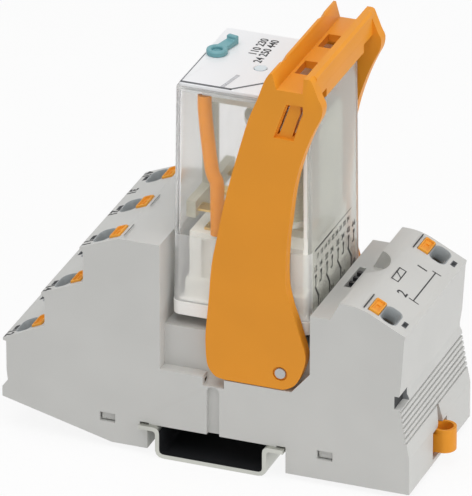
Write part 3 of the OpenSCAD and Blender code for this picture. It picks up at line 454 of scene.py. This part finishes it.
def wound_tape(name, colour):
    """Tape wound over the coil: turns of half a millimetre seen as faint rings."""
    n = Nodes(name)
    ring = n.add("ShaderNodeTexWave", wave_type="BANDS", bands_direction="Z")
    ring.inputs["Scale"].default_value = 320.0
    ring.inputs["Distortion"].default_value = 0.4
    n.link(n.place, "Object", ring, "Vector")
    c = np.array(colour)
    ramp = n.ramp(ring, tuple(c * 0.94), tuple(c), 0.1, 0.7)
    n.link(ramp, "Color", n.shader, "Base Color")
    n.bump(ring, 0.1, 0.00005)
    n.set(Roughness=0.4)
    return n.material


def by_ray(tree, socket, bounced, seen):
    """Gives a socket one value for bounced light and one for camera, glossy and transmission rays."""
    path = tree.nodes.new("ShaderNodeLightPath")
    spread = tree.nodes.new("ShaderNodeMapRange")
    spread.inputs["To Min"].default_value = bounced
    spread.inputs["To Max"].default_value = seen
    value = path.outputs["Is Camera Ray"]
    for ray in ("Is Transmission Ray", "Is Glossy Ray"):
        either = tree.nodes.new("ShaderNodeMath")
        either.operation = "MAXIMUM"
        tree.links.new(value, either.inputs[0])
        tree.links.new(path.outputs[ray], either.inputs[1])
        value = either.outputs[0]
    tree.links.new(value, spread.inputs["Value"])
    tree.links.new(spread.outputs["Result"], socket)


SATIN, SMOOTH, DULL, HAZED = (0.4, 0.5), (0.3, 0.4), (0.5, 0.7), (0.1, 0.15)  # spans of roughness


def finishes(look):
    """Every finish: how it is made, the material's name and colour, and what differs from the usual."""
    grey = np.array(look.housing_colour)
    return {
        "housing": (moulded_plastic, "housing_grey", grey, {}),
        "cover": (moulded_plastic, "cover_grey", grey * 0.94, {}),
        "pin": (moulded_plastic, "pin_white", linear(192, 192, 190), dict(rough=SATIN)),
        "orange": (moulded_plastic, "orange_plastic", look.orange_colour, dict(rough=SATIN, gloss=0.28)),
        "button": (moulded_plastic, "button_orange", linear(240, 166, 60), dict(rough=SATIN, gloss=0.3)),
        "teal": (moulded_plastic, "teal_plastic", look.lever_colour, dict(rough=(0.34, 0.44))),
        "block": (moulded_plastic, "block_white", linear(246, 246, 238), dict(rough=(0.35, 0.5), relief=0.05)),
        "label": (moulded_plastic, "label_white", linear(246, 247, 249),
                  dict(rough=(0.3, 0.36), grain=9000.0, relief=0.02, tint=0.01)),
        "foot": (moulded_plastic, "foot_white", linear(254, 253, 249), dict(rough=(0.25, 0.35), relief=0.04)),
        "lamp": (moulded_plastic, "lamp_pale", linear(222, 234, 240), dict(rough=(0.15, 0.25), relief=0.02)),
        "black": (moulded_plastic, "black_plastic", linear(38, 38, 40), dict(rough=(0.35, 0.5))),
        "board": (moulded_plastic, "board_pale", linear(226, 229, 226), dict(rough=SMOOTH)),
        "lead": (moulded_plastic, "lead_orange", linear(240, 150, 20),
                 dict(rough=SATIN, relief=0.05, gloss=0.2)),
        # grey darker and bluer than the housing: partly the funnel's own tone, partly painted shade of the deep
        # throat
        "funnel": (moulded_plastic, "funnel_grey", linear(158, 163, 165), dict(rough=DULL, gloss=0.2)),
        # mid grey, darker than the housing: painted shade inside the test slots and on the end wall of the
        # coil-end pocket
        "slot": (moulded_plastic, "slot_painted_shade", linear(128, 130, 132), dict(rough=DULL, gloss=0.2)),
        # dark grey: painted shade on the back wall of the coil-end pocket
        "pocket": (moulded_plastic, "pocket_painted_shade", linear(66, 67, 68), dict(rough=DULL, gloss=0.2)),
        # near black: painted shade, used for the sheet inside the rail's channel
        "shade": (moulded_plastic, "rail_painted_shade", linear(28, 29, 31), dict(rough=(0.6, 0.8), gloss=0.1)),
        "clear": (clear_plastic, "clear_cover", linear(252, 252, 252),
                  dict(clear=1 - look.cover_haze, shade=0.96)),
        "frosted": (clear_plastic, "frosted_cover", linear(224, 224, 219),
                    dict(rough=HAZED, clear=0.72, shade=0.94)),
        "hazy": (clear_plastic, "hazy_cover", linear(249, 249, 249),
                 dict(rough=HAZED, clear=0.82, shade=0.97)),
        # milky: the cover's own haze low down; on the cover's top edge the same finish is a painted highlight
        "milky": (clear_plastic, "milky_cover_and_top_highlight", linear(251, 251, 250),
                  dict(rough=HAZED, clear=0.64, shade=0.95)),
        # whiter and less clear: a painted highlight on the cover's front-right corner
        "edge": (clear_plastic, "corner_painted_highlight", linear(253, 252, 248),
                 dict(rough=HAZED, clear=0.25, shade=0.95)),
        "comb": (clear_plastic, "carriage_clear", linear(218, 216, 200), dict(rough=HAZED, clear=0.5)),
        "brass": (metal, "contact_brass", linear(222, 188, 120), {}),
        "steel": (metal, "spring_steel", linear(200, 200, 198), {}),
        "iron": (metal, "bare_iron", linear(222, 222, 212), dict(rough=(0.5, 0.65))),
        "tin": (metal, "tinned_pins", linear(226, 222, 210), dict(rough=(0.2, 0.3))),
        "zinc": (metal, "rail_zinc", linear(196, 197, 190), dict(rough=(0.3, 0.45), brush=(1, 14, 1))),
        "tape": (wound_tape, "coil_tape", linear(228, 226, 204), {}),
        "ink": (ink, "black_ink", linear(26, 26, 28), {}),
        # dark grey: painted shade along the label's edges
        "label_edge_shade": (ink, "label_edge_painted_shade", linear(92, 94, 98), {}),
        "pale_ink": (ink, "pale_grey_ink", linear(196, 198, 202), {}),
    }


_materials = {}


def finish_of(key):
    """The finish of that name, made when it is first asked for."""
    if key not in _materials:
        maker, name, colour, differs = finishes(bpy.context.scene.relay_look)[key]
        _materials[key] = maker(name, colour, **differs)
    return _materials[key]


# ---------------------------------------------------------------- settings

class RelayLook(bpy.types.PropertyGroup):
    housing_colour: bpy.props.FloatVectorProperty(
        name="Housing", description="Colour of the moulded base", subtype="COLOR", size=3,
        min=0.0, max=1.0, default=linear(205, 205, 202))
    orange_colour: bpy.props.FloatVectorProperty(
        name="Bracket", description="Colour of the bracket and the rail latch", subtype="COLOR", size=3,
        min=0.0, max=1.0, default=linear(234, 152, 38))
    lever_colour: bpy.props.FloatVectorProperty(
        name="Test lever", description="Colour of the test lever", subtype="COLOR", size=3,
        min=0.0, max=1.0, default=linear(112, 168, 176))
    cover_haze: bpy.props.FloatProperty(
        name="Cover haze", description="Share of light that the clear cover scatters", subtype="FACTOR",
        min=0.0, max=1.0, default=0.04)
    edge_round: bpy.props.FloatProperty(
        name="Edge rounding", description="Radius on the housing's moulded edges", unit="LENGTH",
        min=0.0, max=0.001, default=0.00022)
    rail_length: bpy.props.FloatProperty(
        name="Rail length", description="Length of the short rail that the module sits on", unit="LENGTH",
        min=0.04, max=0.3, default=0.0436)


# ---------------------------------------------------------------- the base

class RELAY_OT_housing(bpy.types.Operator):
    """Housing, bottom cover and pivot pins: the CAD shapes with rounded moulded edges"""
    bl_idname = "relay.housing"
    bl_label = "Housing"

    def execute(self, context):
        look = context.scene.relay_look
        # the housing's own grey, then two greys of painted shade for the coil-end pocket
        walls = [finish_of(key) for key in ("housing", "slot", "pocket")]
        shell = rounded_copy("housing", "housing_shell", walls, look.edge_round)
        self.pocket(shell.data)
        rounded_copy("bottom_cover", "bottom_cover_shell", finish_of("cover"), look.edge_round)
        for side in ("front", "back"):
            give("pivot_pin_" + side, finish_of("pin"))
        self.fillets()
        return {"FINISHED"}

    def pocket(self, mesh):
        """Painted shade in the pocket in the coil end: its back wall takes a dark grey and its end wall a mid
        grey, both darker than the housing's outside.
        """
        low, high = (40.0, -20.4, 14.95), (60.0, -14.9, 18.05)
        for face in mesh.polygons:
            inside = all(a < c / MM < b for a, c, b in zip(low, face.center, high))
            if inside and abs(face.normal.z) < 0.5:
                face.material_index = 2 if face.normal.x > 0.5 else 1

    def fillets(self):
        """Hollow fillets in the side pockets: a quarter circle between a pocket's floor and its back wall."""
        centre_y, centre_z, radius = -19.55, 14.44, 2.1
        outer_y, wall_y, floor_z = -20.42, -17.4, 12.3
        a = np.linspace(-np.pi / 2, 0, 9)
        curve = np.stack([centre_y + radius * np.cos(a), centre_z + radius * np.sin(a)], 1)
        rest = [(wall_y, centre_z), (wall_y, floor_z), (outer_y, floor_z)]
        outline = np.concatenate([[(outer_y, floor_z + 0.04)], curve, rest])
        parts = [solid(carried(outline * [side, 1], 0, -2.39, 2.79)) for side in (1, -1)]
        add_piece("side_pocket_fillets", parts, finish_of("housing"), "base", slot="housing_grey")


class RELAY_OT_clamps(bpy.types.Operator):
    """Busbars, clamp springs and the dark contacts of the module slot"""
    bl_idname = "relay.clamps"
    bl_label = "Clamps and busbars"

    def execute(self, context):
        for level in LEVELS:
            give(level + "_busbars", finish_of("brass"))
            give(level + "_clamp_springs", finish_of("steel"))
        give("module_contacts", finish_of("black"))
        return {"FINISHED"}


class RELAY_OT_buttons(bpy.types.Operator):
    """Release buttons: a stem with a flange, and a dished top with a slot for a screwdriver"""
    bl_idname = "relay.buttons"
    bl_label = "Release buttons"

    def execute(self, context):
        # Each loop's length, width, corner radius and height: up the stem, over the rim, into dish and slot
        cap = [
            (2.6, 5.5, 0.3, -4.6), (2.7, 5.6, 0.35, -4.4), (2.7, 5.6, 0.35, 0.2), (2.62, 5.52, 0.4, 0.42),
            (2.4, 5.3, 0.4, 0.5), (2.1, 4.9, 0.35, 0.5), (1.9, 4.7, 0.35, 0.36), (1.8, 4.6, 0.3, -0.05),
            (1.1, 2.3, 0.3, -0.1), (1.0, 2.2, 0.25, -0.1), (0.9, 2.1, 0.2, -0.4),
        ]
        flange = [(3.4, 6.3, 0.3, -4.15), (3.4, 6.3, 0.3, -3.15)]
        for node in frame["nodes"]:
            if not node.startswith("button_"):
                continue
            level, count = node.split("_")[1:]
            coil = level == "coil"
            columns = COIL_COLUMNS if coil else CONTACT_COLUMNS
            place = slope_place(level, columns[int(count) - 1])
            up = BUTTON_UP + (COIL_SHIFT if coil else 0.0)
            parts = [solid(moved(shift(stack(rows), x=up), place)) for rows in (cap, flange)]
            add_piece(node + "_cap", parts, finish_of("button"), node, (node,), slot_of_node(node), 30.0)
        return {"FINISHED"}


class RELAY_OT_funnels(bpy.types.Operator):
    """Wire funnels that narrow from each terminal's mouth to its clamp, and the small test slots below them"""
    bl_idname = "relay.funnels"
    bl_label = "Wire funnels"

    def execute(self, context):
        # Each loop's length, width, corner radius and height: collar, throat, and back along its outside
        throat = [(4.5, 6.7, 1.75, 0.01), (4.45, 6.65, 1.75, 0.03)]
        throat += [
            (4.06 - 0.9 * t ** 0.7, 6.26 - 1.4 * t ** 0.7, 1.55 - 0.4 * t, 0.02 - 1.77 * t)
            for t in np.linspace(0, 1, 7)
        ]
        throat += [
            (3.1, 4.84, 1.1, -2.95), (3.12, 4.9, 1.12, -2.96),
            (4.06, 6.26, 1.55, -1.76), (4.08, 6.28, 1.56, 0.01),
        ]
        # The test slot's walls and its shallow floor 1 mm down take a darker grey than the housing: painted
        # shade for the slot's depth
        test_slot = [
            (1.25, 2.35, 0.2, 0.01), (1.2, 2.3, 0.2, 0.03), (1.0, 2.1, 0.1, 0.02), (0.98, 2.08, 0.1, -0.9),
            (0.5, 1.6, 0.1, -1.0), (0.1, 0.2, 0.05, -1.02), (0.1, 0.2, 0.05, -1.1),
            (1.08, 2.18, 0.1, -1.1), (1.08, 2.18, 0.1, 0.01),
        ]
        throats, slots = [], []
        for level in LEVELS:
            coil = level == "coil"
            up = MOUTH_UP + (COIL_SHIFT if coil else 0.0)
            for y in COIL_COLUMNS if coil else CONTACT_COLUMNS:
                place = slope_place(level, y)
                throats.append(sleeve(moved(shift(stack(throat), x=up), place)))
                slots.append(sleeve(moved(shift(stack(test_slot), x=TEST_SLOT_UP), place)))
        add_piece("test_slots", slots, finish_of("slot"), "base", slot="housing_grey")
        add_piece("wire_funnels", throats, finish_of("funnel"), "base", slot="housing_grey")
        return {"FINISHED"}


# ---------------------------------------------------------------- bracket and latch

class RELAY_OT_bracket(bpy.types.Operator):
    """Retaining bracket and rail latch: the CAD shapes with rounded edges"""
    bl_idname = "relay.bracket"
    bl_label = "Bracket and latch"

    def execute(self, context):
        rounded_copy("bracket", "bracket_shell", finish_of("orange"), 0.0004)
        rounded_copy("rail_latch", "rail_latch_shell", finish_of("orange"), 0.00025)
        return {"FINISHED"}


# ---------------------------------------------------------------- the relay

class RELAY_OT_cover(bpy.types.Operator):
    """Relay's clear cover and foot plate: hollow rounded box that narrows towards its top"""
    bl_idname = "relay.cover"
    bl_label = "Relay cover"

    def execute(self, context):
        corner, inner_corner = 1.9, 0.9
        outer = [(33.3, 33.3, corner, COVER_LOW), (33.0, 33.0, corner, COVER_STEP)]
        outer += rounded_top(32.3, 1.4, corner, COVER_TOP, 0.7)
        inner = [(31.1, 31.1, inner_corner, COVER_LOW)]
        inner += rounded_top(30.1, 1.0, inner_corner, COVER_TOP - 1.1, 0.5)
        grid = shift(np.concatenate([stack(outer[::-1]), stack(inner)]), x=RELAY_X)
        keys = ("clear", "frosted", "hazy", "milky", "edge")
        walls = [finish_of(key) for key in keys]
        shell = add_piece("relay_cover_shell", [solid(grid)], walls, "relay",
                          ("relay_cover",), "clear_cover", 40.0)
        for face in shell.data.polygons:
            face.material_index = keys.index(self.wall_of(face))
        rounded_copy("relay_base", "relay_foot", finish_of("foot"), 0.0003)
        give("relay_pins", finish_of("tin"))
        return {"FINISHED"}

    def wall_of(self, face):
        """Finish of a face: milky low down; milky on the top edge too, where it is a painted highlight of the
        light lines along the rounded top edge; clear in front, with a painted highlight on the front-right
        corner.
        """
        front_y, side_x, highlight_x, top_edge = -14.8, 20.2, 20.0, 1.3
        x, y, z = face.center / MM
        # the band along the top edge takes the milky finish as a painted highlight of its light lines
        if z > COVER_TOP - top_edge or (z < COVER_STEP and (y < front_y or x < 0.0)):
            return "milky"
        if y < front_y:
            # faces of the front-right corner turned mostly to the front take a painted highlight
            return "edge" if x > highlight_x and face.normal.y < -0.75 else "clear"
        return "frosted" if x > side_x else "hazy"


class RELAY_OT_inside(bpy.types.Operator):
    """What shows through the cover: contact block, contacts, coil, armature, board and leads"""
    bl_idname = "relay.inside"
    bl_label = "Relay inside"

    def execute(self, context):
        keys = {
            "contact_block": "block", "coil_bobbin": "block", "iron_core": "iron", "yoke": "iron",
            "fixed_contacts": "brass", "moving_contacts": "brass", "armature": "iron",
            "contact_carriage": "comb", "indicator_board": "board", "coil_winding": "tape",
        }
        for node, key in keys.items():
            give(node, finish_of(key))
        lead_y, lead_radius = -13.2, 1.6
        path = smooth_path([(x, lead_y, z) for x, z in (
            (-4.47, 81.75), (-4.4, 78.0), (-3.75, 71.0), (-2.85, 64.0),
            (-2.3, 61.9), (-1.6, 60.3), (-1.45, 56.0), (-1.4, 47.5),
        )])
        add_piece("lead_wire", [solid(tube(path, lead_radius))], finish_of("lead"), "relay",
                  ("lead_wires",), "lead_orange")
        return {"FINISHED"}


class RELAY_OT_top(bpy.types.Operator):
    """Top of the relay: plate, label, indicator lamp and test lever"""
    bl_idname = "relay.top"
    bl_label = "Relay top"

    def execute(self, context):
        rounded_copy("top_plate", "top_plate_shell", finish_of("label"), 0.0002)
        give("indicator_lamp", finish_of("lamp"))
        rounded_copy("test_lever", "test_lever_shell", finish_of("teal"), 0.0003)
        return {"FINISHED"}


# ---------------------------------------------------------------- prints

class RELAY_OT_prints(bpy.types.Operator):
    """Printed marks: plain numbers at the terminals, lines, a coil symbol and a contact diagram; also painted
    shade along the label's edges
    """
    bl_idname = "relay.prints"
    bl_label = "Prints"

    def execute(self, context):
        self.terminals()
        self.coil_block()
        self.label()
        self.diagram()
        return {"FINISHED"}

    def terminals(self):
        """Plain contact numbers at the tips, and a line over each upper button"""
        numbers = (
            ("upper", -18.7, "11"), ("upper", -2.5, "21"), ("upper", 9.1, "31"), ("upper", 18.7, "41"),
            ("middle", -18.7, "14"), ("middle", 18.7, "44"), ("lower", -18.7, "12"),
        )
        digit, up = 2.2, 1.25
        items = [(text, digit, slope_print(level, y, up)) for level, y, text in numbers]
        line_up, half, width = 11.2, 2.9, 0.22
        lines = [(line_up, y - half, line_up, y + half) for y in CONTACT_COLUMNS]
        mesh = number_mesh("terminal_numbers", items, bold=0.1)
        finish_piece("terminal_numbers", mesh, finish_of("ink"), "base")
        add_piece("terminal_lines", strokes(lines, width, slope_place("upper", 0.0)), finish_of("ink"), "base")

    def coil_block(self):
        """Numbers 1 and 2, a box with a slash for the coil, a bracket between the terminals, two lines"""
        place = slope_place("coil", 0.0)
        line, thin, digit = 0.3, 0.26, 2.5
        lines = strokes([
            (11.5, 12.9, 11.5, 19.5), (11.6, -19.3, 11.6, -12.7),
            (3.8, -5.9, 3.8, 8.8), (2.5, 8.9, 4.5, 8.8), (2.5, -6.1, 4.9, -6.0),
        ], line, place)
        low, high, left, right = 9.2, 10.9, -2.9, 2.5
        lines += strokes([
            (low, left, low, right), (high, left, high, right), (low, left, high, left),
            (low, right, high, right), (low, -1.0, high, 0.6),
        ], thin, place)
        add_piece("coil_block_lines", lines, finish_of("ink"), "base")
        numbers = (("1", 7.4), ("2", -5.9))
        items = [(text, digit, slope_print("coil", y, 6.7)) for text, y in numbers]
        mesh = number_mesh("coil_block_numbers", items)
        finish_piece("coil_block_numbers", mesh, finish_of("ink"), "base")

    def label(self):
        """Painted shade along the label's edges: a dark line along its front edge with a corner and a thin one
        down its left side; then a grey stripe and two rows of plain numbers
        """
        top = np.eye(4)
        top[2, 3] = LABEL_Z + 0.01
        # dark lines along the label's front edge, its corner and its left side: painted shade of the label's
        # edge
        lines = strokes([(-9.3, -15.0, 2.2, -15.0)], 0.78, top)
        lines += strokes([(2.3, -14.95, 8.4, -9.2)], 0.58, top)
        lines += strokes([(-9.6, -14.9, -9.6, 0.5)], 0.22, top)
        add_piece("label_edge_shade_strokes", lines, finish_of("label_edge_shade"), "relay")
        stripe = strokes([(0.2, -14.2, 1.3, -8.0)], 0.95, top)
        add_piece("label_stripe", stripe, finish_of("pale_ink"), "relay")
        digit, lift = 1.9, 0.02
        rows = (("110 230", 0.4, 7.9), ("24 250 440", 2.9, 6.2))
        items = [
            (text, digit, print_place((x, y, LABEL_Z + lift), (0, 1, 0), (-1, 0, 0))) for text, x, y in rows
        ]
        mesh = number_mesh("label_numbers", items)
        finish_piece("label_numbers", mesh, finish_of("ink"), "relay")

    def diagram(self):
        """Contact diagram on the cover's right face: four changeover contacts under a line, with numbers"""
        wall_lean = -0.5 / (COVER_TOP - COVER_LOW)
        upward = np.array([wall_lean, 0.0, 1.0]) / math.hypot(wall_lean, 1.0)
        place = print_place((RELAY_X + COVER_HALF + 0.02, 0.0, COVER_LOW), (0, 1, 0), upward)
        line, fine_line, blade, wire, dot = 0.42, 0.16, 0.55, 0.42, 0.75
        digit, small_digit = 1.35, 1.15
        line_z, low_z, tip_z, wire_z = 16.5, 2.2, 7.4, 7.7
        thick = strokes([(-13.0, line_z, -2.2, line_z)], line, place)
        thin = strokes([(-2.2, line_z, 10.3, line_z)], fine_line, place)
        dots, items = [], []

        def number(text, height, y, z):
            items.append((text, height, place @ np.array(Matrix.Translation((y, z, 0)))))

        for count, y in enumerate((-11.0, -3.8, 3.4, 10.2)):
            thick += strokes([(y, low_z, y, 4.4), (y, 4.4, y - 2.1, tip_z)], blade, place)
            left, right = y - 1.7, y + 1.7
            thin += strokes([
                (left, wire_z, left, 9.6), (right, wire_z, right, 9.6), (right, wire_z, y + 0.9, wire_z),
            ], wire, place)
            dots += [(y, 1.7), (left, 10.0), (right, 10.0)]
            for text, across, z in (("1", 1.8, low_z), ("2", -1.8, 11.8), ("4", 1.5, 11.8)):
                number(str(count + 1) + text, digit, y + across, z)
        for y, z in dots:
            thick += strokes([(y - 0.12, z, y + 0.12, z)], dot, place)
        for count, text in enumerate(("11", "12", "14", "21", "22", "24", "31", "32", "34")):
            number(text, small_digit, 2.45 * count - 11.3, 14.6)
        add_piece("diagram_thick", thick, finish_of("ink"), "relay")
        add_piece("diagram_thin", thin, finish_of("ink"), "relay")
        mesh = number_mesh("diagram_numbers", items)
        finish_piece("diagram_numbers", mesh, finish_of("ink"), "relay")


# ---------------------------------------------------------------- stage

class RELAY_OT_stage(bpy.types.Operator):
    """Short rail, floor, soft lights and the camera at the photograph's angle"""
    bl_idname = "relay.stage"
    bl_label = "Stage"

    def execute(self, context):
        scene = context.scene
        self.rail(scene.relay_look.rail_length / MM)
        self.floor()
        self.lights(scene)
        self.camera(scene)
        return {"FINISHED"}

    def rail(self, length):
        """Top-hat rail: half of the profile is mirrored, and the outline is carried along the rail. A
        near-black sheet just inside the channel paints the shade in it.
        """
        top = np.array([
            (17.5, 0.0), (13.7, 0.0), (13.0, -0.25), (12.6, -0.8), (12.5, -1.5),
            (12.5, -5.6), (12.3, -6.15), (11.8, -6.45), (11.2, -6.5), (0.0, -6.5),
        ])
        under = np.array([
            (0.0, -7.5), (11.5, -7.5), (12.5, -7.3), (13.2, -6.7), (13.5, -5.8),
            (13.5, -1.7), (13.65, -1.2), (14.1, -1.0), (17.5, -1.0),
        ])
        mirror = np.array([-1, 1])
        outline = np.concatenate([top, (top * mirror)[::-1][1:], (under * mirror)[::-1], under[1:]])
        # a thin near-black sheet just inside the channel: painted shade in the rail's channel
        shade_sheet = top[3:] + [-0.02, 0.04]
        inside = top[3:] + [-0.12, 0.14]
        shade_sheet = np.concatenate([
            shade_sheet, (shade_sheet * mirror)[::-1][1:], inside * mirror, inside[::-1][1:],
        ])
        half = length / 2
        for name, shape, end, key in (
            ("rail", outline, half, "zinc"),
            ("rail_shade_sheet", shade_sheet, half - 0.02, "shade"),
        ):
            mesh = mesh_of(name, [solid(carried(shape, 1, -end, end))])
            tidy(mesh)
            self.place(name, mesh, finish_of(key))

    def place(self, name, mesh, material):
        """Links a mesh that isn't part of the object."""
        mesh.materials.append(material)
        piece = bpy.data.objects.new(name, mesh)
        bpy.context.scene.collection.objects.link(piece)

    def floor(self):
        """Pale floor that keeps most of its own white towards the camera and takes the object's shadow."""
        n = Nodes("floor_white")
        speck = n.noise(40.0, 2.0)
        ramp = n.ramp(speck, (0.92, 0.92, 0.92), (0.95, 0.95, 0.95))
        n.link(ramp, "Color", n.shader, "Base Color")
        n.set(Roughness=0.9)
        light = n.add("ShaderNodeEmission")
        light.inputs["Strength"].default_value = 1.0
        mix = n.add("ShaderNodeMixShader")
        by_ray(n.tree, mix.inputs["Fac"], 0.0, 0.88)
        n.link(n.shader, "BSDF", mix, 1)
        n.link(light, "Emission", mix, 2)
        n.link(mix, "Shader", n.out, "Surface")
        reach, height = 600, -7.7
        side = np.linspace(-reach, reach, 5)
        grid = np.stack(np.meshgrid(side, side, [height]), -1)[:, :, 0]
        self.place("floor", mesh_of("floor", [(grid, False, False, False)]), n.material)

    def lights(self, scene):
        """Even white room and two soft lamps, above the front and on the right."""
        world = bpy.data.worlds.new("soft_room")
        scene.world = world
        world.use_nodes = True
        back = world.node_tree.nodes["Background"]
        back.inputs["Color"].default_value = (1, 1, 1, 1)
        by_ray(world.node_tree, back.inputs["Strength"], 0.445, 1.0)
        aim = Vector((0, 0, 0.04))
        for name, place, size, watts in (
            ("lamp_top", (0.0, -0.2, 0.78), 0.7, 3.0),
            ("lamp_right", (0.85, -0.18, 0.34), 0.5, 2.45),
        ):
            light = bpy.data.lights.new(name, "AREA")
            light.size = size
            light.energy = watts
            lamp = bpy.data.objects.new(name, light)
            scene.collection.objects.link(lamp)
            lamp.location = place
            lamp.rotation_mode = "QUATERNION"
            lamp.rotation_quaternion = (aim - Vector(place)).to_track_quat("-Z", "Y")

    def camera(self, scene):
        """The photograph's view: 20.9 degrees to the right of the front and 26.7 above it, from 1.96 m."""
        azimuth, elevation, distance = math.radians(20.91), math.radians(26.71), 1.958
        level = math.cos(elevation)
        back = Vector((math.sin(azimuth) * level, -math.cos(azimuth) * level, math.sin(elevation)))
        right = Vector((math.cos(azimuth), math.sin(azimuth), 0.0))
        up = back.cross(right)
        aim = Vector((0, 0, 0.030)) - right * 0.001977 + up * 0.007057
        data = bpy.data.cameras.new("camera")
        data.lens = 626.1
        data.sensor_width = 36.0
        data.clip_start, data.clip_end = 0.1, 20.0
        camera = bpy.data.objects.new("camera", data)
        scene.collection.objects.link(camera)
        camera.location = aim + back * distance
        camera.rotation_mode = "QUATERNION"
        camera.rotation_quaternion = (-back).to_track_quat("-Z", "Y")
        scene.camera = camera
        scene.view_settings.view_transform = "Standard"


# ---------------------------------------------------------------- panel

OPERATORS = (
    RELAY_OT_housing, RELAY_OT_clamps, RELAY_OT_funnels, RELAY_OT_buttons, RELAY_OT_bracket,
    RELAY_OT_cover, RELAY_OT_inside, RELAY_OT_top, RELAY_OT_prints, RELAY_OT_stage,
)


class RELAY_PT_panel(bpy.types.Panel):
    """Buttons that dress each group of pieces"""
    bl_idname = "RELAY_PT_panel"
    bl_label = "Relay module"
    bl_space_type = "VIEW_3D"
    bl_region_type = "UI"
    bl_category = "Relay"

    def draw(self, context):
        look = context.scene.relay_look
        for key in RelayLook.__annotations__:
            self.layout.prop(look, key)
        for operator in OPERATORS:
            self.layout.operator(operator.bl_idname)


CLASSES = (RelayLook, *OPERATORS, RELAY_PT_panel)


def register():
    for cls in CLASSES:
        bpy.utils.register_class(cls)
    bpy.types.Scene.relay_look = bpy.props.PointerProperty(type=RelayLook)


def unregister():
    del bpy.types.Scene.relay_look
    for cls in reversed(CLASSES):
        bpy.utils.unregister_class(cls)


def main():
    register()
    for operator in OPERATORS:
        group, action = operator.bl_idname.split(".")
        result = getattr(getattr(bpy.ops, group), action)()
        if result != {"FINISHED"}:
            raise RuntimeError(operator.bl_idname + " did not finish")


if __name__ == "__main__":
    main()
